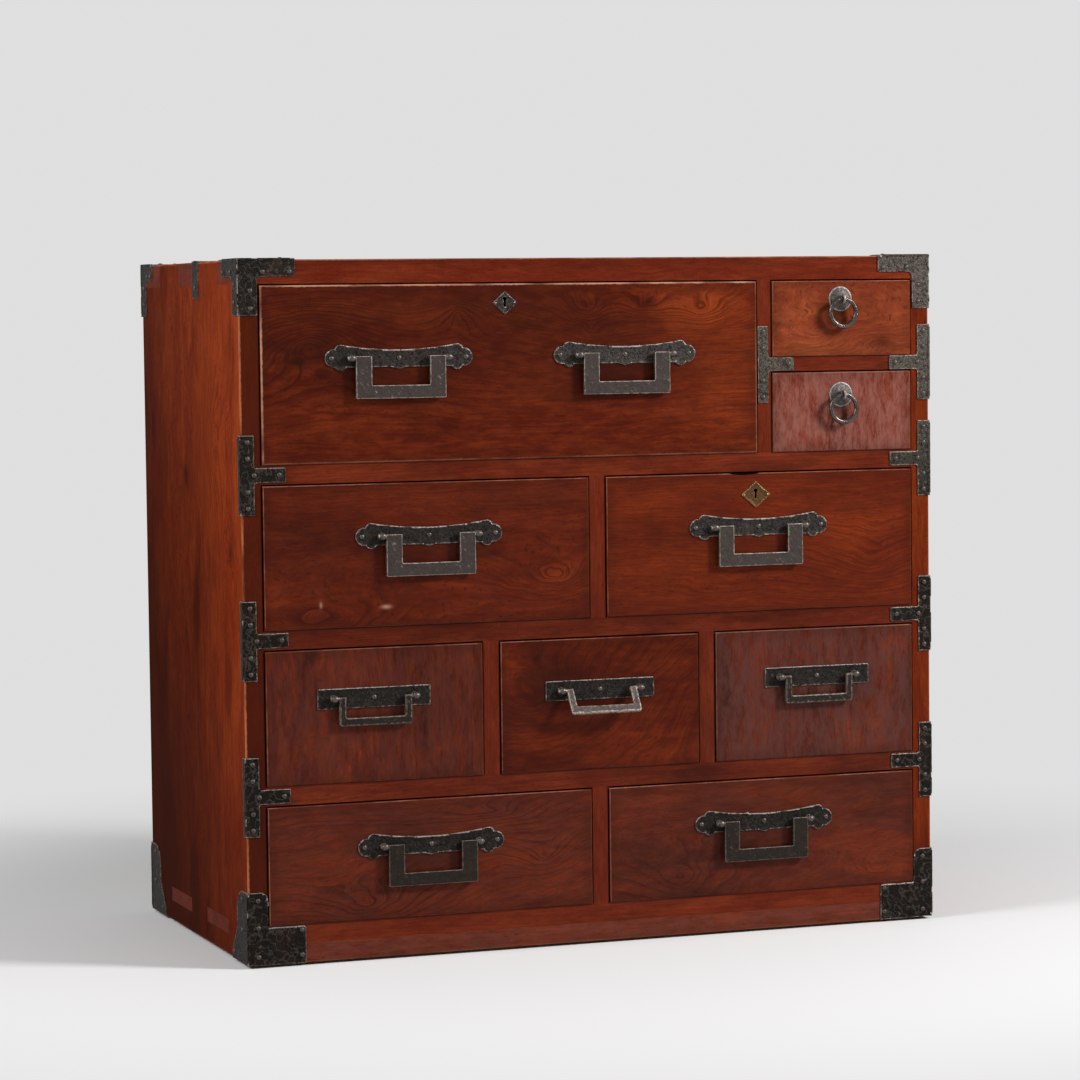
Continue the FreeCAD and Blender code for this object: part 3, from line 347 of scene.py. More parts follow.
def growth_rings_group() -> NodeTree:
    """Year rings about a wandering, leaning pith, with fibres and pores that follow them.

    Place is in millimetres, x along the grain, y out of the board's face and z across it.

    Returns:
        A group with Rings (dark late wood), Fibre (fine streaks), Pores, and Figure, which is 1 close to
        knots.
    """
    kinds = SocketKind
    shared = SharedGroup(
        "growth_rings",
        {"Place": kinds.PLACE, "Pith": kinds.PLACE, "Lean": kinds.NUMBER, "Width": kinds.NUMBER,
         "Wander": kinds.NUMBER, "Lift": kinds.NUMBER, "Log": kinds.NUMBER},
        {"Rings": kinds.NUMBER, "Fibre": kinds.NUMBER, "Pores": kinds.NUMBER, "Figure": kinds.NUMBER})
    graph = shared.graph
    entry = shared.entry
    log_place = graph.vector("ADD", entry["Place"], graph.joined(entry["Log"], entry["Log"], entry["Log"]))
    slow = graph.cloud(graph.vector("MULTIPLY", log_place, SLOW_WANDER), 1.0, 2.0)
    quick = graph.cloud(graph.vector("MULTIPLY", log_place, QUICK_WANDER), 1.0, 2.0)
    slow_shift = graph.scaled(
        graph.vector("SUBTRACT", slow.outputs["Color"], HALF), graph.times(entry["Wander"], 2.0))
    quick_shift = graph.scaled(
        graph.vector("SUBTRACT", quick.outputs["Color"], HALF), graph.times(entry["Wander"], QUICK_SHARE))
    moved = graph.vector("ADD", entry["Place"], graph.vector("ADD", slow_shift, quick_shift))
    along, out, across = graph.split(moved)
    _, pith_out, pith_across = graph.split(entry["Pith"])
    drift = graph.times(along, entry["Lean"])
    rise = graph.minus(graph.minus(across, pith_across), drift)
    depth = graph.minus(out, pith_out)
    square = graph.more(graph.times(rise, rise), depth, depth)
    radius = graph.plus(graph.math("SQRT", square), entry["Lift"])
    year = graph.math("DIVIDE", radius, entry["Width"])
    year = graph.more(year, graph.wave(year, 0.37), 1.6)
    part = graph.math("FRACT", year)
    late = graph.minus(graph.step(part, 0.35, 0.9), graph.step(part, 0.93, 1.0))
    weight = graph.step(graph.wave(year, 0.21), 0.3, 0.68)
    near_knot = graph.step(graph.math("ABSOLUTE", entry["Lift"]), 8.0, 24.0)
    weight = graph.math("MAXIMUM", graph.plus(graph.times(weight, 0.75), 0.25), near_knot)
    rings = graph.times(graph.times(late, late), weight)
    strand = graph.joined(graph.times(along, 0.022), graph.times(radius, 1.0), graph.times(out, 0.5))
    fibre = graph.cloud(strand, 1.0, 5.0, 0.68)
    vessel = graph.joined(graph.times(along, 0.16), graph.times(radius, 1.25), graph.times(out, 1.1))
    speck = graph.step(graph.patches(vessel, 1.0, 2.0, 0.6), 0.56, 0.7)
    pores = graph.times(speck, graph.minus(1.0, graph.times(rings, 0.7)))
    return shared.give(
        Rings=rings, Fibre=graph.step(fibre.outputs["Fac"], 0.25, 0.75), Pores=pores, Figure=near_knot)


def edge_wear_group() -> NodeTree:
    """Where a board's edges are rubbed bare, with a painted highlight on the left and top edges, and a darker
    band inside them that is partly dirt and partly painted shade.

    Place, Centre and Half are in millimetres in the object's own frame.

    Returns:
        A group with three outputs: a thin line of bare wood that comes and goes along the edges, full on the
            left and at the top as painted highlight;
        a broad soft band along the edges, partly dirt and partly painted shade; and Front, which is 1 on the
        front face alone.
    """
    kinds = SocketKind
    shared = SharedGroup(
        "edge_wear",
        {"Place": kinds.PLACE, "Centre": kinds.PLACE, "Half": kinds.PLACE, "Reach": kinds.NUMBER},
        {"Wear": kinds.NUMBER, "Border": kinds.NUMBER, "Front": kinds.NUMBER})
    graph = shared.graph
    entry = shared.entry
    offset = graph.vector("SUBTRACT", entry["Place"], entry["Centre"])
    x, y, z = graph.split(graph.vector("SUBTRACT", entry["Half"], graph.vector("ABSOLUTE", offset)))
    to_right, to_back, to_top = graph.split(graph.vector("DIVIDE", offset, entry["Half"]))
    # Painted highlight: the bare line stays full on the left and top edges, which face the lamps, and drops
    # to a quarter on the right and at the bottom.
    kept = graph.times(graph.step(to_right, 1.0, 0.94), graph.step(to_top, -1.0, -0.9))
    kept = graph.plus(graph.times(kept, 0.75), 0.25)
    smaller = graph.math("MINIMUM", x, y)
    larger = graph.math("MAXIMUM", x, y)
    from_edge = graph.math("MAXIMUM", smaller, graph.math("MINIMUM", larger, z))
    long_gap = graph.step(graph.patches(entry["Place"], 0.018, 3.0, 0.6), 0.36, 0.6)
    short_gap = graph.patches(entry["Place"], 0.25, 3.0, 0.6)
    thin = graph.times(entry["Reach"], graph.plus(graph.times(short_gap, 0.9), 0.4))
    line = graph.times(graph.step(graph.math("DIVIDE", from_edge, thin), 1.0, 0.45), kept)
    # The band that darkens 16 mm in from every edge is partly dirt and partly painted shade along the edges
    # and corners.
    return shared.give(
        Wear=graph.times(line, graph.plus(graph.times(long_gap, 0.8), 0.2)),
        Border=graph.step(from_edge, 16.0, 0.0), Front=graph.step(to_back, -0.995, -0.998))


def forged_skin_group() -> NodeTree:
    """The skin of hammered iron: soft dents, fine scale, pits and rust.

    Returns:
        A group with Height, Scale (dark fire scale), Pits (dark hollows), Rust, and Scroll, which is 1 on the
        raised lines of a winding pattern.
    """
    kinds = SocketKind
    shared = SharedGroup(
        "forged_skin", {"Place": kinds.PLACE, "Grit": kinds.NUMBER},
        {"Height": kinds.NUMBER, "Scale": kinds.NUMBER, "Pits": kinds.NUMBER, "Rust": kinds.NUMBER,
         "Scroll": kinds.NUMBER})
    graph = shared.graph
    entry = shared.entry
    vine = graph.minus(graph.patches(entry["Place"], 0.14, 1.0, 0.4), 0.5)
    scroll = graph.step(graph.math("ABSOLUTE", vine), 0.06, 0.01)
    dents = graph.patches(entry["Place"], 0.22, 3.0, 0.55)
    grit = graph.patches(entry["Place"], 0.8, 4.0, 0.7)
    pits = graph.step(graph.patches(entry["Place"], 0.33, 3.0, 0.65), 0.5, 0.36)
    height = graph.more(dents, grit, entry["Grit"])
    height = graph.minus(height, graph.times(pits, graph.times(entry["Grit"], 0.8)))
    scale = graph.step(grit, 0.62, 0.38)
    rust = graph.times(graph.step(graph.patches(entry["Place"], 0.05, 4.0, 0.6), 0.5, 0.68), scale)
    return shared.give(Height=height, Scale=scale, Pits=pits, Rust=rust, Scroll=scroll)


@dataclass(frozen=True)
class SharedGroups:
    """The node groups that the finishes share."""

    swirl: NodeTree
    rings: NodeTree
    wear: NodeTree
    forged: NodeTree

    @classmethod
    def build(cls) -> "SharedGroups":
        """Builds every shared group once."""
        return cls(swirl_group(), growth_rings_group(), edge_wear_group(), forged_skin_group())


def new_material(name: str) -> tuple[Graph, Node, Material]:
    """A material with only a Principled shader.

    Args:
        name: The material's name.

    Returns:
        Its graph, its Principled node and the material.
    """
    material = bpy.data.materials.new(name)
    material.use_nodes = True
    graph = Graph(material.node_tree)
    return graph, material.node_tree.nodes["Principled BSDF"], material


# ---------- wood
class Lay(Enum):
    """How a board lies: the object axes of its grain, of its face's depth and across it."""

    FRONT_ALONG = ((1, 0, 0), (0, 1, 0), (0, 0, 1))
    FRONT_UPRIGHT = ((0, 0, 1), (0, 1, 0), (-1, 0, 0))
    SIDE_UPRIGHT = ((0, 0, 1), (1, 0, 0), (0, 1, 0))
    TOP_ALONG = ((1, 0, 0), (0, 0, -1), (0, 1, 0))
    TOP_DEEP = ((0, 1, 0), (0, 0, -1), (-1, 0, 0))

    def turn(self) -> Sequence[float]:
        """The turn from the board's own axes to the object's."""
        return Matrix(self.value).transposed().to_euler()


@dataclass(frozen=True)
class Swirl:
    """An oval mark on a board, in millimetres along the grain and across it from the board's middle.

    A knot with a negative rise crowds the rings above it, one with a positive rise those below it.
    """

    along: float
    across: float
    reach: float
    height: float
    rise: float


@dataclass(frozen=True)
class WoodFinish:
    """Lacquered or bare solid wood. Lengths are in millimetres."""

    name: str
    lay: Lay = Lay.FRONT_ALONG
    early: Colour = paint(0.083, 0.0082, 0.002)
    late: Colour = paint(0.026, 0.0029, 0.0013)
    flame: Colour = paint(0.2, 0.0275, 0.005)
    shade: Colour = paint(0.022, 0.0042, 0.002)
    bare: Colour = paint(0.42, 0.2, 0.125)
    bloom_colour: Colour = paint(0.17, 0.062, 0.047)
    ring_width: float = 6.0
    pith_out: float = 95.0
    pith_across: float = -25.0
    lean: float = 0.06
    wander: float = 16.0
    log: float = 0.0
    contrast: float = 0.32
    knot_contrast: float = 0.32
    fibre: float = 0.5
    pores: float = 0.5
    flame_share: float = 0.45
    shade_share: float = 0.3
    mottle: float = 0.33
    bloom: float = 0.0
    wear_reach: float = 1.3
    # The next field sets the bare edge line, rubbed wood with a painted highlight on the left and top.
    wear: float = 0.55
    # The next field sets the dark band along the edges, partly dirt and partly painted shade.
    border: float = 0.3
    roughness: float = 0.36
    coat: float = 0.14
    coat_roughness: float = 0.3
    relief: float = 0.6
    flame_stretch: Triple = (0.008, 0.03, 0.028)
    fleck_stretch: Triple = (0.045, 0.15, 0.14)
    film_stretch: Triple = (0.05, 0.05, 0.15)
    plane_marks: float = 0.02
    plane_depth: float = 2.0
    knots: tuple[Swirl, ...] = ()
    # Dark marks: real ones such as knot spots and end grain, and on some boards painted shade.
    stains: tuple[Swirl, ...] = ()
    # Bright marks: flame figure, and on some boards painted light.
    glows: tuple[Swirl, ...] = ()
    chips: tuple[Swirl, ...] = ()
    front_edge: float = 0.0

    def marks(
            self, graph: Graph, shared: SharedGroups, place: Feed, swirls: Iterable[Swirl],
            shape: str = "Hill") -> Feed:
        """The sum of several swirls.

        Args:
            graph: The material's graph.
            shared: The shared groups.
            place: The place on the board.
            swirls: The marks to add up.
            shape: Hill for soft marks, or Peak for ones that fall evenly.

        Returns:
            Their sum, or 0 where there are none.
        """
        total: Feed = 0.0
        for swirl in swirls:
            node = graph.group(
                shared.swirl, Place=place, Centre=(swirl.along, 0.0, swirl.across),
                Reach=(swirl.reach, 1.0, swirl.height), Rise=swirl.rise)
            total = graph.plus(total, node.outputs[shape])
        return total

    def figure(self, graph: Graph, shared: SharedGroups, own: Feed) -> tuple[Feed, Feed, Feed]:
        """The wood's colours with its marks, painted light and shade among them, before its edges are rubbed.

        Args:
            graph: The material's graph.
            shared: The shared groups.
            own: The place on the board in its own axes.

        Returns:
            The colour, how dull it is, and the height of its grain.
        """
        waver = graph.cloud(own, 0.035).outputs["Color"]
        soft = graph.vector("ADD", own, graph.scaled(graph.vector("SUBTRACT", waver, HALF), 14.0))
        rings = graph.group(
            shared.rings, Place=own, Pith=(0.0, self.pith_out, self.pith_across), Lean=self.lean,
            Width=self.ring_width, Wander=self.wander, Log=self.log,
            Lift=self.marks(graph, shared, soft, self.knots, "Peak")).outputs
        shift = (self.log, 0.0, 0.0)
        flame_place = graph.vector("ADD", graph.vector("MULTIPLY", own, self.flame_stretch), shift)
        flames = graph.step(graph.patches(flame_place, 1.0, 4.0, 0.62), 0.4, 0.72)
        shades = graph.step(graph.patches(flame_place, 0.8, 4.0, 0.6), 0.5, 0.3)
        flames = graph.times(flames, self.flame_share)
        flames = graph.plus(flames, self.marks(graph, shared, soft, self.glows))
        shades = graph.times(shades, self.shade_share)
        # The dark marks include painted shade on some boards.
        shades = graph.plus(shades, self.marks(graph, shared, soft, self.stains))
        fleck_place = graph.vector("MULTIPLY", own, self.fleck_stretch)
        fleck = graph.step(graph.patches(fleck_place, 1.0, 3.0, 0.6), 0.35, 0.7)
        flames = graph.more(flames, fleck, self.mottle)
        colour = graph.blend(graph.math("MINIMUM", flames, 1.0), self.early, self.flame)
        ringed = graph.plus(graph.times(rings["Figure"], self.knot_contrast), self.contrast)
        colour = graph.tint(colour, rings["Rings"], ringed, self.late)
        thin = graph.times(graph.minus(1.0, rings["Fibre"]), self.fibre)
        colour = graph.blend(thin, colour, self.late)
        colour = graph.blend(graph.math("MINIMUM", shades, 0.9), colour, self.shade)
        colour = graph.tint(colour, rings["Pores"], self.pores, self.shade)
        film_place = graph.vector("ADD", graph.vector("MULTIPLY", own, self.film_stretch), shift)
        film = graph.step(graph.patches(film_place, 1.0, 5.0, 0.74), 0.28, 0.66)
        film = graph.times(film, self.bloom)
        colour = graph.blend(film, colour, self.bloom_colour)
        dull = graph.more(graph.times(thin, 0.12), film, 0.2)
        height = graph.more(graph.times(rings["Fibre"], 0.05), film, 0.35)
        height = graph.minus(height, graph.times(rings["Pores"], 0.12))
        height = graph.more(height, rings["Rings"], 0.03)
        return colour, dull, height

    def material(self, shared: SharedGroups, board: Block, worn: Block) -> Material:
        """Builds the finish for one board.

        Args:
            shared: The shared groups.
            board: The board's box, which centres the figure.
            worn: The box whose edges are rubbed.

        Returns:
            The material.
        """
        graph, shader, material = new_material(self.name)
        coordinates = graph.add("ShaderNodeTexCoord").outputs["Object"]
        place = graph.scaled(coordinates, 1 / MM)
        turned = graph.add("ShaderNodeMapping", vector_type="TEXTURE")
        graph.fill(turned, {
            "Vector": coordinates, "Location": board.middle, "Rotation": self.lay.turn(),
            "Scale": (MM, MM, MM)})
        own = turned.outputs["Vector"]
        colour, dull, height = self.figure(graph, shared, own)
        edges = graph.group(
            shared.wear, Place=place, Centre=worn.middle / MM, Half=worn.half / MM,
            Reach=self.wear_reach).outputs
        # Dark band along the edges: partly dirt, partly painted shade.
        colour = graph.tint(colour, edges["Border"], self.border, self.shade)
        colour = graph.tint(colour, edges["Front"], self.front_edge, self.late)
        # The bare line along the edges, full on the left and top as painted highlight.
        rubbed = graph.times(edges["Wear"], self.wear)
        rubbed = graph.math("MAXIMUM", rubbed, self.marks(graph, shared, own, self.chips))
        colour = graph.blend(rubbed, colour, self.bare)
        gloss = graph.more(dull, rubbed, 0.15)
        graph.fill(shader, {
            "Base Color": colour, "Roughness": graph.plus(gloss, self.roughness), "Coat Weight": self.coat,
            "Coat Roughness": self.coat_roughness, "Specular IOR Level": 0.0})
        planed = graph.times(graph.patches(place, self.plane_marks), self.plane_depth)
        graph.relief(shader, graph.plus(height, planed), MM, self.relief)
        return material


# ---------- metal
# The vertex attribute of rubbed bright spots, and of the painted highlight on rims that face up.
RUB = "rub"


@dataclass(frozen=True)
class Gloss:
    """How much paler iron gets towards one part of the chest: to the right and up, in metres. This is painted
    light that stands for the key lamp at the upper right.
    """

    share: float
    left: float = -0.5
    right: float = 0.32
    low: float = 0.38
    high: float = 0.62


@dataclass(frozen=True)
class MetalFinish:
    """Forged iron, steel or brass, brighter where its edges and high spots are rubbed, with a painted
    highlight on rims that face up.
    """

    name: str
    dark: Colour
    plain: Colour
    rubbed: Colour
    rust: Colour = paint(0.06, 0.024, 0.012)
    rust_share: float = 0.5
    scale_share: float = 0.6
    pit_share: float = 0.35
    grit: float = 0.5
    roughness: float = 0.52
    metallic: float = 0.7
    shine: float = 0.5
    bump: float = 0.5
    depth: float = 0.4 * MM
    scroll: float = 0.0
    # Painted light: the iron turns paler to the right and up.
    gloss: Gloss | None = None

    def handled(self, graph: Graph, coordinates: Feed) -> Feed:
        """The share of painted light over the chest, for the key lamp at the upper right.

        Args:
            graph: The material's graph.
            coordinates: The place in the object's frame.

        Returns:
            A share that grows to the right and upwards.
        """
        if self.gloss is None:
            return 0.0
        across, _, height = graph.split(coordinates)
        share = graph.times(graph.step(across, self.gloss.left, self.gloss.right), self.gloss.share)
        return graph.times(share, graph.step(height, self.gloss.low, self.gloss.high))

    def material(self, shared: SharedGroups) -> Material:
        """Builds the finish.

        Args:
            shared: The shared groups.

        Returns:
            The material.
        """
        graph, shader, material = new_material(self.name)
        coordinates = graph.add("ShaderNodeTexCoord").outputs["Object"]
        place = graph.scaled(coordinates, 1 / MM)
        skin = graph.group(shared.forged, Place=place, Grit=self.grit).outputs
        # Rubbed spots and the painted highlight on upward rims, read from the mesh.
        rub = graph.add("ShaderNodeAttribute", attribute_name=RUB).outputs["Fac"]
        patchy = graph.patches(place, 0.16, 3.0, 0.6)
        patchy = graph.times(graph.minus(patchy, 0.5), 0.9)
        rub = graph.step(graph.plus(rub, patchy), 0.15, 0.8)
        # Painted light: the plain colour turns towards the rubbed one to the right and up.
        colour = graph.blend(self.handled(graph, coordinates), self.plain, self.rubbed)
        colour = graph.tint(colour, skin["Scale"], self.scale_share, self.dark)
        colour = graph.tint(colour, skin["Scroll"], self.scroll, self.rubbed)
        colour = graph.blend(rub, colour, self.rubbed)
        colour = graph.tint(colour, skin["Pits"], self.pit_share, self.dark)
        colour = graph.tint(colour, skin["Rust"], self.rust_share, self.rust)
        rough = graph.more(self.roughness, skin["Scale"], 0.15)
        rough = graph.minus(rough, graph.times(rub, 0.12))
        metal = graph.minus(self.metallic, graph.times(skin["Rust"], 0.5 * self.rust_share))
        graph.fill(shader, {
            "Base Color": colour, "Roughness": rough, "Metallic": metal, "Specular IOR Level": self.shine})
        raised = graph.times(skin["Scroll"], 2.0 * self.scroll)
        graph.relief(shader, graph.plus(skin["Height"], raised), self.depth, self.bump)
        return material


class Slot(Enum):
    """The record's slots of the metals."""

    CASE_IRON = "case_iron"
    HANDLE_IRON = "handle_iron"
    LOCK_STEEL = "lock_steel"
    BRASS = "brass"


# ---------- the smith's and the carver's moves
@dataclass(frozen=True)
class Plane:
    """A flat face to draw on: u runs across it and v up it, from its origin."""

    origin: Vector
    across: Vector
    up: Vector
    outward: Vector

    def at(self, u: float, v: float) -> Vector:
        """The point at u and v."""
        return self.origin + self.across * u + self.up * v


class Pen:
    """Draws closed outlines of lines and arcs on a plane and fills them."""

    def __init__(self, bm: BMesh, plane: Plane) -> None:
        """Keeps the mesh and the plane.

        Args:
            bm: The mesh to add to.
            plane: The plane to draw on.
        """
        self.bm = bm
        self.plane = plane
        self.first: BMVert | None = None
        self.tip: BMVert | None = None
        self.edges: list[BMEdge] = []
        self.all_edges: list[BMEdge] = []

    def line(self, u: float, v: float) -> None:
        """Draws a straight run to a point, or starts an outline there.

        Args:
            u: The point's place across the plane.
            v: Its place up the plane.
        """
        vert = self.bm.verts.new(self.plane.at(u, v))
        if self.tip is None:
            self.first = vert
        else:
            self.edges.append(self.bm.edges.new((self.tip, vert)))
        self.tip = vert

    def arc(self, u: float, v: float, angle: float, steps: int) -> None:
        """Turns the tip about a centre by an angle in radians, from across towards up.

        Args:
            u: The centre's place across the plane.
            v: Its place up the plane.
            angle: The turn.
            steps: Straight runs in the arc.
        """
        spun = bmesh.ops.spin(
            self.bm, geom=[self.tip], cent=self.plane.at(u, v), axis=self.plane.across.cross(self.plane.up),
            angle=angle, steps=steps, use_duplicate=False)
        last = next(item for item in spun["geom_last"] if isinstance(item, BMVert))
        walk = last
        while walk is not self.tip:
            edge = next(item for item in walk.link_edges if item not in self.edges)
            self.edges.append(edge)
            walk = edge.other_vert(walk)
        self.tip = last

    def close(self) -> None:
        """Joins the tip to the outline's start."""
        self.edges.append(self.bm.edges.new((self.tip, self.first)))
        self.all_edges += self.edges
        self.edges = []
        self.tip = None

    def corners(self, corners: Corners) -> None:
        """Draws a closed outline of (u, v, radius) corners.

        Args:
            corners: The corners in order.
        """
        flat = [Vector((u, v)) for u, v, _ in corners]
        for index, (_, _, radius) in enumerate(corners):
            here = flat[index]
            if not radius:
                self.line(*here)
                continue
            before = (flat[index - 1] - here).normalized()
            after = (flat[(index + 1) % len(flat)] - here).normalized()
            opening = before.angle(after)
            centre = here + (before + after).normalized() * (radius / math.sin(opening / 2))
            self.line(*(here + before * (radius / math.tan(opening / 2))))
            turn = (math.pi - opening) * math.copysign(1.0, after.cross(before))
            self.arc(*centre, turn, max(3, int(abs(turn) * 5)))
        self.close()

    def face(self) -> BMFace:
        """Fills the one outline that was drawn with a face that looks outwards."""
        made = bmesh.ops.contextual_create(self.bm, geom=self.all_edges)["faces"][0]
        made.normal_update()
        if made.normal.dot(self.plane.outward) < 0:
            made.normal_flip()
        return made

    def pierced(self) -> None:
        """Fills between an outline and the ones inside it."""
        bmesh.ops.triangle_fill(
            self.bm, use_beauty=True, use_dissolve=False, edges=self.all_edges, normal=self.plane.outward)
        for face in self.bm.faces:
            face.normal_update()
            if face.normal.dot(self.plane.outward) < 0:
                face.normal_flip()


def facing_forward(point: Vector) -> Plane:
    """The plane through a point that faces forwards."""
    return Plane(point, RIGHT, UP, FORWARD)


def merge(bm: BMesh, reach: float) -> None:
    """Makes one vertex of those that lie within reach of each other."""
    bmesh.ops.remove_doubles(bm, verts=bm.verts[:], dist=reach)


def bevelled(bm: BMesh, edges: list[BMEdge], offset: float, segments: int) -> None:
    """Rounds some edges."""
    bmesh.ops.bevel(
        bm, geom=edges, offset=offset, offset_type="OFFSET", segments=segments, profile=0.5, affect="EDGES",
        material=-1, clamp_overlap=True)


def spun(bm: BMesh, parts: list, centre: Vector, axis: Vector, steps: int) -> None:
    """Turns vertices and edges all the way round an axis."""
    bmesh.ops.spin(
        bm, geom=parts, cent=centre, axis=axis, angle=2 * math.pi, steps=steps, use_merge=True,
        use_duplicate=False)


def cut_to_grid(bm: BMesh, pitch: float) -> None:
    """Cuts every face along planes one pitch apart on each axis.

    Args:
        bm: The mesh.
        pitch: How far apart the cuts are.
    """
    for axis in range(3):
        values = [vert.co[axis] for vert in bm.verts]
        low, high = min(values), max(values)
        count = int((high - low) / pitch)
        direction = Vector((0.0, 0.0, 0.0))
        direction[axis] = 1.0
        for index in range(count):
            at = low + (high - low) * (index + 0.5) / count
            geometry = bm.verts[:] + bm.edges[:] + bm.faces[:]
            bmesh.ops.bisect_plane(
                bm, geom=geometry, dist=0.01 * MM, plane_co=direction * at, plane_no=direction)


def round_sharp(bm: BMesh, offset: float, segments: int) -> None:
    """Bevels every edge between faces that meet at more than 40 degrees."""
    sharp = [edge for edge in bm.edges if edge.is_manifold and edge.calc_face_angle(0.0) > math.radians(40)]
    bevelled(bm, sharp, offset, segments)


def in_order(bm: BMesh) -> None:
    """Puts a mesh's parts in the order of their places, as cutting leaves them in any order.

    Args:
        bm: The mesh.
    """
    weights = Vector((1.0, 7.0 * math.e, 49.0 * math.pi))
    bm.verts.sort(key=lambda vert: vert.co.dot(weights))
    bm.edges.sort(key=lambda edge: sum(vert.co.dot(weights) for vert in edge.verts))
    bm.faces.sort(key=lambda face: face.calc_center_median().dot(weights))


def hammered(bm: BMesh, depth: float, grain: float, seed: float) -> None:
    """Sinks each vertex along its normal by its own amount, as a hammer leaves a forged face.

    Args:
        bm: The mesh.
        depth: How deep a full blow goes.
        grain: How broad the blows are.
        seed: Shifts the pattern, so that pieces differ.
    """
    bm.normal_update()
    moves = []
    for vert in bm.verts:
        where = vert.co / grain + Vector((seed, seed, seed))
        dent = min(0.0, noise.noise(where) + 0.5 * noise.noise(where * 2.3) - 0.4)
        moves.append((vert, vert.normal * (depth * dent)))
    for vert, move in moves:
        vert.co += move


def ragged(bm: BMesh, amount: float, grain: float) -> None:
    """Moves the vertices on open rims a little in the plane of the sheet.

    Args:
        bm: The mesh.
        amount: How far they move.
        grain: How long the waves along the rim are.
    """
    bm.normal_update()
    for vert in bm.verts:
        if vert.is_boundary:
            shift = noise.noise_vector(vert.co / grain) * amount
            around = [edge.other_vert(vert).co for edge in vert.link_edges]
            inside = sum(around, Vector()) / len(around)
            inward = (inside - vert.co).normalized()
            shift += inward * max(0.0, -shift.dot(inward))
            vert.co += shift - vert.normal * shift.dot(vert.normal)


def dished(bm: BMesh, depth: float, rim: float, middle: Vector = Vector(), hole_reach: float = 0.0) -> None:
    """Sinks a flat plate's middle below its rim.

    Args:
        bm: The plate's outer face.
        depth: How far the middle sinks.
        rim: How far from the edge it is fully sunk.
        middle: The plate's middle.
        hole_reach: How far from the middle an edge still belongs to the keyhole, which sinks with the plate.
    """
    bm.normal_update()
    rims = [vert.co.copy() for vert in bm.verts if vert.is_boundary]
    edge = [point for point in rims if (point - middle).length > hole_reach]
    for vert in bm.verts:
        share = min(1.0, min((vert.co - point).length for point in edge) / rim)
        vert.co -= vert.normal * (depth * share * share * (3 - 2 * share))


def mark_rubbed(bm: BMesh) -> None:
    """Writes how far each vertex stands out from its neighbours, which is where iron gets rubbed bright, and
    adds a painted highlight on open rims that grows where they face up.

    Args:
        bm: The mesh.
    """
    layer = bm.verts.layers.float.new(RUB)
    bm.normal_update()
    for vert in bm.verts:
        ways = [(vert.co - edge.other_vert(vert).co).normalized() for edge in vert.link_edges]
        standing = sum(vert.normal.dot(way) for way in ways) / max(len(ways), 1)
        rim = 0.0
        # Open rims are rubbed a little all round and get a painted highlight the more they face up towards
        # the lamps.
        if vert.is_boundary:
            out = sum(ways, Vector())
            rim = 0.45 + 0.6 * max(0.0, out.normalized().z)
        vert[layer] = max(0.0, standing * 6.0) + rim


def lathe(
        bm: BMesh, profile: Sequence[tuple[float, float]], axis: Vector, centre: Vector,
        side: Vector, steps: int) -> None:
    """Turns a profile about an axis.

    Args:
        bm: The mesh to add to.
        profile: (distance along the axis, radius) pairs from one pole or rim to the other.
        axis: The axis that it turns about.
        centre: The point that distances start from.
        side: A direction square to the axis.
        steps: Faces round.
    """
    verts = [bm.verts.new(centre + axis * along + side * radius) for along, radius in profile]
    edges = [bm.edges.new(pair) for pair in zip(verts, verts[1:])]
    spun(bm, verts + edges, centre, axis, steps)
    merge(bm, 0.005 * MM)


def face_outwards(bm: BMesh) -> None:
    """Points every face of closed shapes outwards."""
    bmesh.ops.recalc_face_normals(bm, faces=bm.faces[:])


@dataclass(frozen=True)
class Thickness:
    """How a sheet piece gets its wall and its eased rim."""

    wall: float = 0.0
    ease: float = 0.0


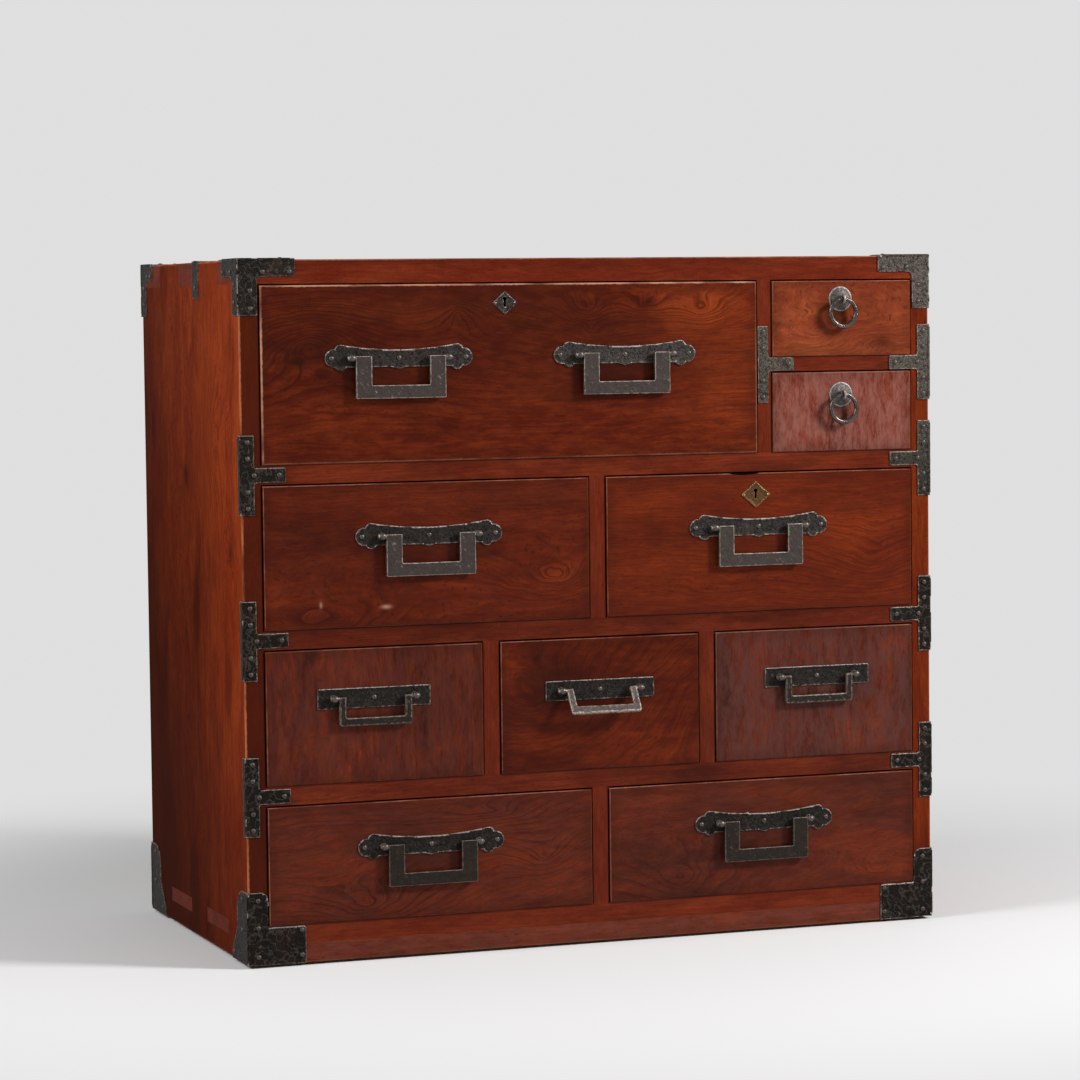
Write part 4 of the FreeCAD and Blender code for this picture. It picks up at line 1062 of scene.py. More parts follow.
class Workshop:
    """Keeps the finishes and turns meshes into pieces that ride on the frame."""

    def __init__(self, frame: dict, shared: SharedGroups) -> None:
        """Keeps the frame and the shared groups, and builds the metals.

        Args:
            frame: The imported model.
            shared: The shared groups.
        """
        self.frame = frame
        self.shared = shared
        self.joints = {joint["name"]: joint for joint in frame["joints"]}
        self.handle_iron = HANDLE_IRON.material(shared)
        self.worn_iron = WORN_IRON.material(shared)
        self.plate_iron = PLATE_IRON.material(shared)
        self.ring_iron = RING_IRON.material(shared)
        self.rosette_iron = ROSETTE_IRON.material(shared)
        self.dark_iron = DARK_HANDLE_IRON.material(shared)
        self.case_iron = CASE_IRON.material(shared)
        self.nail_iron = NAIL_IRON.material(shared)
        self.case_nail_iron = CASE_NAIL_IRON.material(shared)
        self.steel = LOCK_STEEL.material(shared)
        self.brass = BRASS.material(shared)

    def pivot(self, body: str) -> Vector:
        """The hinge point of a swinging body."""
        return Vector(self.joints[body + "_swing"]["pos_m"])

    def piece(
            self, name: str, bm: BMesh, material: Material, body: str, slot: Slot,
            stands_for: Sequence[str], thickness: Thickness = Thickness()) -> Object:
        """Makes an object of a mesh and joins it to the frame.

        Args:
            name: The piece's name.
            bm: Its mesh, which is freed.
            material: Its finish.
            body: The body that it rides on.
            slot: Not used.
            stands_for: The CAD nodes that it is shown instead of.
            thickness: The wall and the eased rim of a sheet.

        Returns:
            The new object.
        """
        mark_rubbed(bm)
        for face in bm.faces:
            face.smooth = True
        mesh = bpy.data.meshes.new(name)
        bm.to_mesh(mesh)
        bm.free()
        mesh.materials.append(material)
        piece = bpy.data.objects.new(name, mesh)
        bpy.context.scene.collection.objects.link(piece)
        if thickness.wall:
            wall = piece.modifiers.new("wall", "SOLIDIFY")
            wall.thickness = thickness.wall
            wall.offset = -1.0
            wall.use_even_offset = False
        if thickness.ease:
            ease = piece.modifiers.new("ease", "BEVEL")
            ease.width = thickness.ease
            ease.segments = 2
            ease.limit_method = "ANGLE"
            ease.angle_limit = math.radians(50)
        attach(piece, body)
        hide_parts(*stands_for)
        LOG.info("%s: %d faces on %s", name, len(mesh.polygons), body)
        return piece

    def fixture(
            self, name: str, bm: BMesh, material: Material, drawer: str,
            thickness: Thickness = Thickness()) -> None:
        """Makes a piece of the ironwork that is fixed on a drawer."""
        self.piece(name, bm, material, drawer, Slot.HANDLE_IRON, [drawer + "_ironwork"], thickness)

    def dress(self, node: str, material: Material) -> None:
        """Gives a CAD node its finish.

        Args:
            node: The node's name.
            material: Its finish.
        """
        mesh = self.frame["nodes"][node].data
        mesh.materials.clear()
        mesh.materials.append(material)
        LOG.info("%s: dressed in %s", node, material.name)


# ---------- the finishes of this chest
HANDLE_IRON = MetalFinish(
    "handle_iron", dark=paint(0.022, 0.0165, 0.014), plain=paint(0.048, 0.0365, 0.031),
    rubbed=paint(0.34, 0.285, 0.25), rust_share=0.12, pit_share=0.4, scale_share=0.45, shine=0.4)
WORN_IRON = MetalFinish(
    "worn_iron", dark=paint(0.03, 0.023, 0.02), plain=paint(0.085, 0.067, 0.058),
    rubbed=paint(0.36, 0.3, 0.26), rust_share=0.15)
# Plate iron: painted light makes it paler to the right and up.
PLATE_IRON = MetalFinish(
    "plate_iron", dark=paint(0.0065, 0.0052, 0.0045), plain=paint(0.017, 0.0135, 0.0115),
    rubbed=paint(0.36, 0.31, 0.28), rust_share=0.15, grit=0.9, pit_share=0.8, bump=0.9,
    shine=0.2, scroll=0.035, gloss=Gloss(0.14, low=0.3))
DARK_HANDLE_IRON = MetalFinish(
    "dark_handle_iron", dark=paint(0.01, 0.0072, 0.006), plain=paint(0.026, 0.0195, 0.016),
    rubbed=paint(0.16, 0.13, 0.11), rust_share=0.25, shine=0.2)
# Case iron: painted light makes it paler to the right and up.
CASE_IRON = MetalFinish(
    "case_iron", dark=paint(0.004, 0.0031, 0.0025), plain=paint(0.0125, 0.0098, 0.0078),
    rubbed=paint(0.23, 0.195, 0.165), rust_share=0.3, grit=1.1, bump=0.8, pit_share=0.6, shine=0.12,
    scroll=0.12, gloss=Gloss(0.34))
NAIL_IRON = MetalFinish(
    "nail_iron", dark=paint(0.012, 0.009, 0.0075), plain=paint(0.033, 0.025, 0.0215),
    rubbed=paint(0.1, 0.083, 0.073), rust_share=0.2, pit_share=0.5, roughness=0.4, shine=0.3)
# Case nails: painted light makes them paler to the right and up.
CASE_NAIL_IRON = MetalFinish(
    "case_nail_iron", dark=paint(0.008, 0.0062, 0.005), plain=paint(0.017, 0.0135, 0.011),
    rubbed=paint(0.075, 0.063, 0.054), rust_share=0.3, pit_share=0.4, shine=0.25, gloss=Gloss(0.8))
RING_IRON = MetalFinish(
    "ring_iron", dark=paint(0.01, 0.0075, 0.0065), plain=paint(0.03, 0.0235, 0.0205),
    rubbed=paint(0.085, 0.07, 0.062), rust_share=0.25, roughness=0.3, metallic=0.8, bump=0.6)
ROSETTE_IRON = MetalFinish(
    "rosette_iron", dark=paint(0.03, 0.024, 0.022), plain=paint(0.07, 0.06, 0.056),
    rubbed=paint(0.26, 0.225, 0.205), rust_share=0.2, roughness=0.5, metallic=0.6, bump=0.8, scroll=0.2)
LOCK_STEEL = MetalFinish(
    "lock_steel", dark=paint(0.1, 0.095, 0.09), plain=paint(0.3, 0.29, 0.27),
    rubbed=paint(0.5, 0.49, 0.46), rust_share=0.5, roughness=0.42, metallic=0.9)
BRASS = MetalFinish(
    "brass", dark=paint(0.026, 0.0125, 0.0045), plain=paint(0.095, 0.044, 0.0135),
    rubbed=paint(0.46, 0.32, 0.14), rust=paint(0.03, 0.016, 0.007), rust_share=0.8, roughness=0.4,
    metallic=0.85, grit=0.8)


# ---------- small turned pieces
@dataclass(frozen=True)
class NailHead:
    """The domed head of a hand-forged nail."""

    radius: float = 2.6 * MM
    height: float = 1.2 * MM
    steps: int = 9

    def drive(self, bm: BMesh, at: Vector, outward: Vector) -> None:
        """Adds a head that sits on a point, a little uneven and turned its own way.

        Args:
            bm: The mesh to add to.
            at: The point on the iron.
            outward: The way that the head faces.
        """
        chance = random.Random(round(at.x / MM) * 7 + round(at.z / MM) * 13 + round(at.y / MM))
        side = outward.orthogonal().normalized()
        side.rotate(Matrix.Rotation(chance.uniform(0, math.pi), 3, outward))
        others = set(bm.verts)
        profile = [(-0.2, 0.97), (0.12, 1.0), (0.6, 0.8), (0.92, 0.42), (1.0, 0.0)]
        turned = [(along * self.height, radius * self.radius) for along, radius in profile]
        lathe(bm, turned, outward, at, side, self.steps)
        for vert in bm.verts:
            if vert not in others:
                shift = noise.noise_vector(vert.co / (2.5 * MM)) * (0.22 * MM)
                vert.co += shift - outward * max(0.0, shift.dot(outward))


@dataclass(frozen=True)
class Post:
    """An eyed post that a bail's pin turns in."""

    eye: float
    bead: float = 3.7 * MM
    length: float = 6.0 * MM
    shank: float = 2.2 * MM
    collar: float = 3.6 * MM
    collar_rise: float = 0.6 * MM
    steps: int = 20

    def set_in(self, bm: BMesh, pivot: Vector, plate_y: float) -> None:
        """Adds a post whose eye is at a pivot and whose collar sits on the plate.

        Args:
            bm: The mesh to add to.
            pivot: The eye's middle.
            plate_y: Depth of the plate's outer face.
        """
        half = self.length / 2
        profile = [
            (-half, self.eye), (-half, 0.74 * self.bead), (-0.72 * half, 0.92 * self.bead), (0.0, self.bead),
            (0.72 * half, 0.92 * self.bead), (half, 0.74 * self.bead), (half, self.eye)]
        lathe(bm, profile, RIGHT, pivot, UP, self.steps)
        reach = plate_y - pivot.y
        stem = [(0.3 * self.bead, self.shank), (reach - self.collar_rise, self.shank),
                (reach - self.collar_rise, self.collar), (reach, self.collar * 1.05), (reach + MM, 0.0)]
        lathe(bm, stem, BACKWARD, pivot, UP, self.steps)


# ---------- handles
@dataclass(frozen=True)
class BailShape:
    """A squared bail: half its width, its arms, bar, drop and thickness, and how far its edges are eased."""

    half: float
    arm: float
    bar: float
    drop: float
    thickness: float
    ease: float
    corner: float
    pin: float
    pin_end: float
    pitch: float = 1.8 * MM
    dent: float = 0.28 * MM
    dent_grain: float = 5.0 * MM
    steps: int = 14

    def forge(self, pivot: Vector, lean: float = 0.0) -> BMesh:
        """Makes the bail hanging from its pivot.

        Args:
            pivot: The hinge point at the bail's middle.
            lean: How far it stands out from hanging, in radians.

        Returns:
            The mesh.
        """
        bm = bmesh.new()
        plane = facing_forward(pivot - Vector((0, self.thickness / 2, 0)))
        inner = self.half - self.arm
        sill = self.bar - self.drop
        pen = Pen(bm, plane)
        pen.corners([
            (-self.half, self.pin, 0.4 * self.corner), (-self.half, -self.drop, self.corner),
            (self.half, -self.drop, self.corner), (self.half, self.pin, 0.4 * self.corner),
            (inner, self.pin, 0), (inner, sill, self.ease), (-inner, sill, self.ease), (-inner, self.pin, 0)])
        front = pen.face()
        back = bmesh.ops.extrude_face_region(bm, geom=[front])["geom"]
        moved = [item for item in back if isinstance(item, BMVert)]
        bmesh.ops.translate(bm, verts=moved, vec=(0, self.thickness, 0))
        face_outwards(bm)
        round_sharp(bm, self.ease, 2)
        cut_to_grid(bm, self.pitch)
        in_order(bm)
        merge(bm, CUT_REACH)
        hammered(bm, self.dent, self.dent_grain, pivot.x / MM)
        for side in (-1, 1):
            start = self.half - self.arm / 2
            length = self.pin_end - start
            profile = [
                (0, 0), (0, self.pin), (length - 0.5 * self.pin, self.pin), (length, 0.6 * self.pin),
                (length, 0)]
            lathe(bm, profile, Vector((side, 0, 0)), pivot + Vector((side * start, 0, 0)), UP, self.steps)
        face_outwards(bm)
        bmesh.ops.rotate(bm, verts=bm.verts[:], cent=pivot, matrix=Matrix.Rotation(lean, 3, -RIGHT))
        return bm


LARGE_BAIL = BailShape(
    half=47.0 * MM, arm=16.6 * MM, bar=13.2 * MM, drop=40.4 * MM, thickness=4.6 * MM, ease=0.8 * MM,
    corner=1.2 * MM, pin=1.9 * MM, pin_end=54.8 * MM)
MEDIUM_BAIL = BailShape(
    half=38.2 * MM, arm=7.4 * MM, bar=8.8 * MM, drop=27.9 * MM, thickness=4.4 * MM, ease=1.2 * MM,
    corner=3.0 * MM, pin=1.7 * MM, pin_end=46.8 * MM, pitch=1.5 * MM, dent=0.4 * MM)


@dataclass(frozen=True)
class BailHandle:
    """A back plate, two posts, its nails and a bail on one drawer."""

    body: str
    drawer: str
    shop: Workshop
    iron: Material
    bail: BailShape
    post_x: float
    nail_xs: tuple[float, ...]
    lean: float = 0.0
    plate: float = 1.5 * MM
    dish: float = 0.45 * MM
    dish_rim: float = 3.6 * MM
    play: float = 0.25 * MM
    pitch: float = 1.9 * MM
    dent: float = 0.2 * MM
    dent_grain: float = 6.0 * MM
    rag: float = 0.35 * MM
    rag_grain: float = 9.0 * MM
    ease: float = 0.4 * MM

    def outline(self, pen: Pen) -> None:
        """Draws the back plate round its middle; each kind of handle has its own."""
        raise NotImplementedError

    def build(self) -> None:
        """Makes the handle's pieces and hangs them on their bodies."""
        pivot = self.shop.pivot(self.body)
        face_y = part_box(self.drawer + "_front")[0].y
        plate_y = face_y - self.plate
        name = self.body.removesuffix("_bail")
        bm = bmesh.new()
        middle = Vector((pivot.x, plate_y, pivot.z))
        pen = Pen(bm, facing_forward(middle))
        self.outline(pen)
        pen.face()
        cut_to_grid(bm, self.pitch)
        merge(bm, CUT_REACH)
        ragged(bm, self.rag, self.rag_grain)
        hammered(bm, self.dent, self.dent_grain, pivot.z / MM)
        dished(bm, self.dish, self.dish_rim)
        walls = Thickness(self.plate, self.ease)
        self.shop.fixture(name + "_plate", bm, self.shop.plate_iron, self.drawer, walls)
        bm = bmesh.new()
        post = Post(self.bail.pin + self.play)
        for side in (-1, 1):
            post.set_in(bm, pivot + Vector((side * self.post_x, 0, 0)), plate_y + self.dish)
        face_outwards(bm)
        self.shop.fixture(name + "_posts", bm, self.shop.nail_iron, self.drawer)
        bm = bmesh.new()
        for nail_x in self.nail_xs:
            NailHead().drive(bm, middle + Vector((nail_x, self.dish, 0)), FORWARD)
        face_outwards(bm)
        self.shop.fixture(name + "_nails", bm, self.shop.nail_iron, self.drawer)
        self.shop.piece(
            self.body + "_forged", self.bail.forge(pivot, self.lean), self.iron, self.body, Slot.HANDLE_IRON,
            [self.body])


@dataclass(frozen=True)
class LargeHandle(BailHandle):
    """The broad handle: its plate sags along the top and has three lobes at each end."""

    bail: BailShape = LARGE_BAIL
    post_x: float = 50.6 * MM
    nail_xs: tuple[float, ...] = (-70.5 * MM, 0.0, 70.5 * MM)
    half: float = 61.0 * MM
    crest: float = 13.3 * MM
    sag: float = 8.0 * MM
    foot: float = 9.0 * MM
    cusp: float = 2.0 * MM
    cusp_half: float = 7.0 * MM
    top_lobe: float = 6.3 * MM
    end_lobe: float = 9.0 * MM
    foot_lobe: float = 6.4 * MM
    end_x: float = 68.3 * MM
    rise: float = 7.0 * MM
    fall: float = 5.8 * MM

    def outline(self, pen: Pen) -> None:
        """Draws the lobed plate, anticlockwise from the cusp in its foot.

        Args:
            pen: The pen to draw with.
        """
        top = Circle(Vector((self.half, self.rise)), self.top_lobe)
        end = Circle(Vector((self.end_x, 0.0)), self.end_lobe)
        low = Circle(Vector((self.half, -self.fall)), self.foot_lobe)
        half_chord = math.sqrt(low.radius ** 2 - (self.foot - self.fall) ** 2)
        low_start = Vector((low.centre.x - half_chord, -self.foot))
        low_end = low.meets(end)[0]
        end_end = end.meets(top)[0]
        top_end = Vector((self.half, self.crest))
        depth = self.crest - self.sag
        sweep = Circle(Vector((0.0, self.sag + (self.half ** 2 + depth ** 2) / (2 * depth))), 0.0)
        left = [Vector((-point.x, point.y)) for point in (top_end, end_end, low_end, low_start)]
        pen.line(0.0, -self.foot - self.cusp)
        pen.line(self.cusp_half, -self.foot)
        pen.line(*low_start)
        for circle, start, finish in [
                (low, low_start, low_end), (end, low_end, end_end), (top, end_end, top_end)]:
            pen.arc(*circle.centre, circle.sweep(start, finish), 8)
        pen.arc(*sweep.centre, sweep.sweep(top_end, left[0]) - 2 * math.pi, 16)
        for circle, start, finish in zip((top, end, low), left, left[1:]):
            centre = Vector((-circle.centre.x, circle.centre.y))
            pen.arc(*centre, Circle(centre, circle.radius).sweep(start, finish), 8)
        pen.line(-self.cusp_half, -self.foot)
        pen.close()


@dataclass(frozen=True)
class Circle:
    """A circle in the plane of a plate."""

    centre: Vector
    radius: float

    def meets(self, other: "Circle") -> tuple[Vector, Vector]:
        """The points where two circles cross, first the one on the right of the way to the other's centre.

        Args:
            other: The second circle.

        Returns:
            The two points.
        """
        between = other.centre - self.centre
        along = (between.length_squared + self.radius ** 2 - other.radius ** 2) / (2 * between.length)
        aside = math.sqrt(self.radius ** 2 - along ** 2)
        way = between.normalized()
        right = Vector((way.y, -way.x))
        foot = self.centre + way * along
        return foot + right * aside, foot - right * aside

    def sweep(self, start: Vector, finish: Vector) -> float:
        """The anticlockwise angle from one point of the circle to another."""
        first = start - self.centre
        last = finish - self.centre
        return (math.atan2(last.y, last.x) - math.atan2(first.y, first.x)) % (2 * math.pi)


@dataclass(frozen=True)
class MediumHandle(BailHandle):
    """The slender handle of the third row, on a plain rectangular plate."""

    bail: BailShape = MEDIUM_BAIL
    post_x: float = 42.6 * MM
    nail_xs: tuple[float, ...] = (0.0,)
    half: float = 59.0 * MM
    height: float = 20.0 * MM
    corner: float = 1.5 * MM

    def outline(self, pen: Pen) -> None:
        """Draws the rectangle.

        Args:
            pen: The pen to draw with.
        """
        top = self.height / 2
        pen.corners([
            (-self.half, -top, self.corner), (self.half, -top, self.corner), (self.half, top, self.corner),
            (-self.half, top, self.corner)])


@dataclass(frozen=True)
class RingPull:
    """A domed rosette, an eye and a round ring."""

    drawer: str
    shop: Workshop
    rosette: float = 13.0 * MM
    rim: float = 0.9 * MM
    dome: float = 3.5 * MM
    ring: float = 14.3 * MM
    wire: float = 2.6 * MM
    eye: float = 4.2 * MM
    eye_wire: float = 1.1 * MM
    rosette_dent: float = 0.15 * MM
    rosette_grain: float = 5.0 * MM
    ring_dent: float = 0.22 * MM
    ring_grain: float = 4.0 * MM
    steps: int = 48
    eye_steps: int = 28
    stem_steps: int = 12
    wire_steps: int = 12

    def build(self) -> None:
        """Makes the rosette, the eye and the ring."""
        body = self.drawer + "_ring"
        pivot = self.shop.pivot(body)
        face_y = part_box(self.drawer + "_front")[0].y
        bm = bmesh.new()
        profile = [
            (0.0, 1.0), (0.6 * self.rim, 1.0), (self.rim, 0.95), (0.85 * self.rim, 0.86),
            (1.3 * self.rim, 0.8), (0.62 * self.dome, 0.62), (0.86 * self.dome, 0.4), (self.dome, 0.16),
            (self.dome, 0.0)]
        turned = [(along, share * self.rosette) for along, share in profile]
        at = Vector((pivot.x, face_y, pivot.z))
        lathe(bm, turned, FORWARD, at, UP, self.steps)
        hammered(bm, self.rosette_dent, self.rosette_grain, pivot.z / MM)
        face_outwards(bm)
        self.shop.fixture(self.drawer + "_rosette", bm, self.shop.rosette_iron, self.drawer)
        bm = bmesh.new()
        self.hoop(bm, pivot, RIGHT, self.eye, self.eye_wire, self.eye_steps)
        stem = [(self.eye, self.eye_wire), (abs(face_y - pivot.y), 1.4 * self.eye_wire)]
        lathe(bm, stem, BACKWARD, pivot, UP, self.stem_steps)
        face_outwards(bm)
        self.shop.fixture(self.drawer + "_eye", bm, self.shop.handle_iron, self.drawer)
        bm = bmesh.new()
        centre = pivot - Vector((0, 0, self.ring))
        self.hoop(bm, centre, FORWARD, self.ring, self.wire, self.steps)
        self.taper(bm, centre)
        hammered(bm, self.ring_dent, self.ring_grain, pivot.z / MM)
        face_outwards(bm)
        self.shop.piece(body + "_forged", bm, self.shop.ring_iron, body, Slot.HANDLE_IRON, [body])

    def hoop(self, bm: BMesh, centre: Vector, axis: Vector, radius: float, wire: float, steps: int) -> None:
        """Bends round wire into a closed hoop.

        Args:
            bm: The mesh to add to.
            centre: The hoop's middle.
            axis: The axis that it goes round.
            radius: From the middle to the middle of the wire.
            wire: The wire's radius.
            steps: Faces round the hoop.
        """
        turn = axis.cross(UP).to_track_quat("Z", "Y").to_matrix().to_4x4()
        place = Matrix.Translation(centre + UP * radius) @ turn
        circle = bmesh.ops.create_circle(bm, segments=self.wire_steps, radius=wire, matrix=place)["verts"]
        edges = list(dict.fromkeys(edge for vert in circle for edge in vert.link_edges))
        spun(bm, circle + edges, centre, axis, steps)
        merge(bm, 0.01 * MM)

    def taper(self, bm: BMesh, centre: Vector) -> None:
        """Draws the ring's wire down a little where it passes through the eye.

        Args:
            bm: The ring's mesh.
            centre: The ring's middle.
        """
        for vert in bm.verts:
            arm = vert.co - centre
            spine = Vector((arm.x, 0, arm.z)).normalized() * self.ring
            height = 0.5 + 0.5 * spine.z / self.ring
            vert.co = centre + spine + (arm - spine) * (1.0 - 0.22 * height)


@dataclass(frozen=True)
class Escutcheon:
    """A diamond plate round a keyhole, whose middle lies a drop below the top of its drawer's front."""

    name: str
    drawer: str
    shop: Workshop
    material: Material
    slot: Slot
    stands_for: str
    width: float
    height: float
    drop: float
    scallop: float = 0.0
    thickness: float = 1.1 * MM
    hole: float = 2.3 * MM
    slot_width: float = 2.6 * MM
    hole_rise: float = 4.0 * MM
    pin: float = 1.0 * MM
    dish: float = 0.5 * MM
    dish_rim: float = 2.6 * MM
    hole_reach: float = 7.0 * MM
    pitch: float = 1.6 * MM
    dent: float = 0.12 * MM
    dent_grain: float = 4.0 * MM
    ease: float = 0.25 * MM

    def build(self) -> None:
        """Makes the plate and its pins, in front of the drawer's lock."""
        front = Block.of(self.drawer + "_front")
        lock_x = Block.of(self.drawer + "_lock_case").middle.x
        key = Vector((lock_x, front.low.y, front.high.z - self.drop))
        bm = bmesh.new()
        middle = key - Vector((0, self.thickness, 0))
        pen = Pen(bm, facing_forward(middle))
        half_width, half_height = self.width / 2, self.height / 2
        places = ((0, -half_height), (half_width, 0), (0, half_height), (-half_width, 0))
        tips = [Vector(place) for place in places]
        for index, tip in enumerate(tips):
            pen.line(*tip)
            if self.scallop:
                self.cut_scallop(pen, tip, tips[(index + 1) % len(tips)])
        pen.close()
        half_slot = self.slot_width / 2
        shoulder = math.sqrt(self.hole ** 2 - half_slot ** 2)
        pen.line(half_slot, self.hole_rise - shoulder)
        pen.arc(0.0, self.hole_rise, 2 * math.pi - 2 * math.asin(half_slot / self.hole), 12)
        pen.line(-half_slot, -self.hole_rise)
        pen.line(half_slot, -self.hole_rise)
        pen.close()
        pen.pierced()
        cut_to_grid(bm, self.pitch)
        merge(bm, CUT_REACH)
        dished(bm, self.dish, self.dish_rim, middle, self.hole_reach)
        hammered(bm, self.dent, self.dent_grain, key.x / MM)
        walls = Thickness(self.thickness, self.ease)
        self.shop.piece(self.name, bm, self.material, self.drawer, self.slot, [self.stands_for], walls)
        bm = bmesh.new()
        head = NailHead(self.pin, 0.6 * MM, 8)
        for side in (-1, 1):
            head.drive(bm, middle + Vector((side * (half_width - 2.8 * self.pin), 0, 0)), FORWARD)
        face_outwards(bm)
        self.shop.piece(self.name + "_pins", bm, self.material, self.drawer, self.slot, [self.stands_for])

    def cut_scallop(self, pen: Pen, start: Vector, end: Vector) -> None:
        """Draws the hollow in the middle of one side of the diamond.

        Args:
            pen: The pen to draw with.
            start: The tip that the side starts at.
            end: The tip that it ends at.
        """
        middle = (start + end) / 2
        way = (end - start).normalized()
        outward = Vector((way.y, -way.x))
        reach = 0.7 * self.scallop
        centre = middle + outward * math.sqrt(self.scallop ** 2 - reach ** 2)
        pen.line(*(middle - way * reach))
        pen.arc(*centre, -2 * math.asin(reach / self.scallop), 6)


# ---------- case irons
@dataclass(frozen=True)
class Corner:
    """One upright edge of the case, from which irons are laid inwards."""

    case: Block
    right: bool
    back: bool
    iron: float

    @property
    def inward(self) -> Vector:
        """Which way is inwards along x and y, as signs."""
        return Vector((-1.0 if self.right else 1.0, -1.0 if self.back else 1.0, 0.0))

    @property
    def edge(self) -> Vector:
        """The foot of the edge, on the case's skin."""
        x = self.case.high.x if self.right else self.case.low.x
        y = self.case.high.y if self.back else self.case.low.y
        return Vector((x, y, 0.0))

    def face(self) -> Plane:
        """The outside of irons on the front or back: u inwards from the edge, v the height."""
        outward = Vector((0, -self.inward.y, 0))
        return Plane(self.edge + outward * self.iron, Vector((self.inward.x, 0, 0)), UP, outward)

    def flank(self) -> Plane:
        """The outside of irons on the side: u inwards from the edge, v the height."""
        outward = Vector((-self.inward.x, 0, 0))
        return Plane(self.edge + outward * self.iron, Vector((0, self.inward.y, 0)), UP, outward)

    def crown(self) -> Plane:
        """The outside of irons on the top: u inwards along x, v inwards along y."""
        origin = self.edge + Vector((0, 0, self.case.high.z + self.iron))
        return Plane(origin, Vector((self.inward.x, 0, 0)), Vector((0, self.inward.y, 0)), UP)


Leaf = tuple[Plane, Corners]
NailPlace = tuple[Vector, Vector]


@dataclass(frozen=True)
class FoldedIron:
    """Sheet iron folded round an edge of the case, hammered and nailed on."""

    wall: float = 1.3 * MM
    fold: float = 1.2 * MM
    pitch: float = 2.0 * MM
    dent: float = 0.3 * MM
    rag: float = 0.55 * MM
    grain: float = 7.0 * MM
    seed: float = 3.0

    def forge(self, bm: BMesh, leaves: Sequence[Leaf]) -> None:
        """Adds one iron whose leaves share their folded edges.

        Args:
            bm: The mesh to add to.
            leaves: Each leaf's plane and its (u, v, radius) corners.
        """
        own = bmesh.new()
        for plane, corners in leaves:
            pen = Pen(own, plane)
            pen.corners(corners)
            pen.face()
        merge(own, 0.05 * MM)
        cut_to_grid(own, self.pitch)
        merge(own, 0.1 * MM)
        folds = [edge for edge in own.edges if edge.is_manifold and edge.calc_face_angle(0.0) > 1.0]
        if folds:
            bevelled(own, folds, self.fold, 3)
        ragged(own, self.rag, self.grain)
        hammered(own, self.dent, self.grain, self.seed)
        loose = bpy.data.meshes.new("leaf")
        own.to_mesh(loose)
        own.free()
        bm.from_mesh(loose)
        bpy.data.meshes.remove(loose)


@dataclass(frozen=True)
class CornerIron(FoldedIron):
    """A three-leaved top corner piece."""

    reach: float = 58.0 * MM
    back_reach: float = 45.0 * MM
    arm: float = 16.5 * MM
    upright: float = 18.8 * MM
    drop: float = 55.0 * MM
    fillet: float = 6.0 * MM
    nail_end: float = 5.5 * MM
    nail_line: float = 12.0 * MM
    nail_elbow: float = 25.0 * MM
    nail_upper: float = 30.5 * MM
    nail_lower: float = 48.0 * MM
    stagger: float = 6.0 * MM

    def build(self, bm: BMesh, corner: Corner) -> list[NailPlace]:
        """Adds the iron of one corner.

        Args:
            bm: The mesh to add to.
            corner: The case's edge that it caps.

        Returns:
            Its nails' places.
        """
        reach = self.back_reach if corner.back else self.reach
        top = corner.case.high.z
        crown = top + self.wall
        leaf = [
            (-self.wall, top - self.drop, 0), (self.upright, top - self.drop, 1.5 * MM),
            (self.upright, top - self.arm, self.fillet), (reach, top - self.arm, 1.5 * MM), (reach, crown, 0),
            (-self.wall, crown, 0)]
        cap = [
            (-self.wall, -self.wall, 0), (reach, -self.wall, 0), (reach, self.upright, 0),
            (self.upright, self.upright, self.fillet), (self.upright, reach, 0), (-self.wall, reach, 0)]
        face, flank, lid = corner.face(), corner.flank(), corner.crown()
        self.forge(bm, [(face, leaf), (flank, leaf), (lid, cap)])
        end = reach - self.nail_end
        nails = []
        for u in (end, self.nail_elbow):
            nails += [(plane.at(u, top - self.nail_line), plane.outward) for plane in (face, flank)]
        for drop in (self.nail_upper, self.nail_lower):
            nails.append((face.at(self.nail_line, top - drop), face.outward))
            nails.append((flank.at(self.nail_line, top - drop + self.stagger), flank.outward))
        inner = end - self.stagger
        nails += [(lid.at(u, v), lid.outward) for u, v in ((inner, self.nail_line), (self.nail_line, inner))]
        return nails


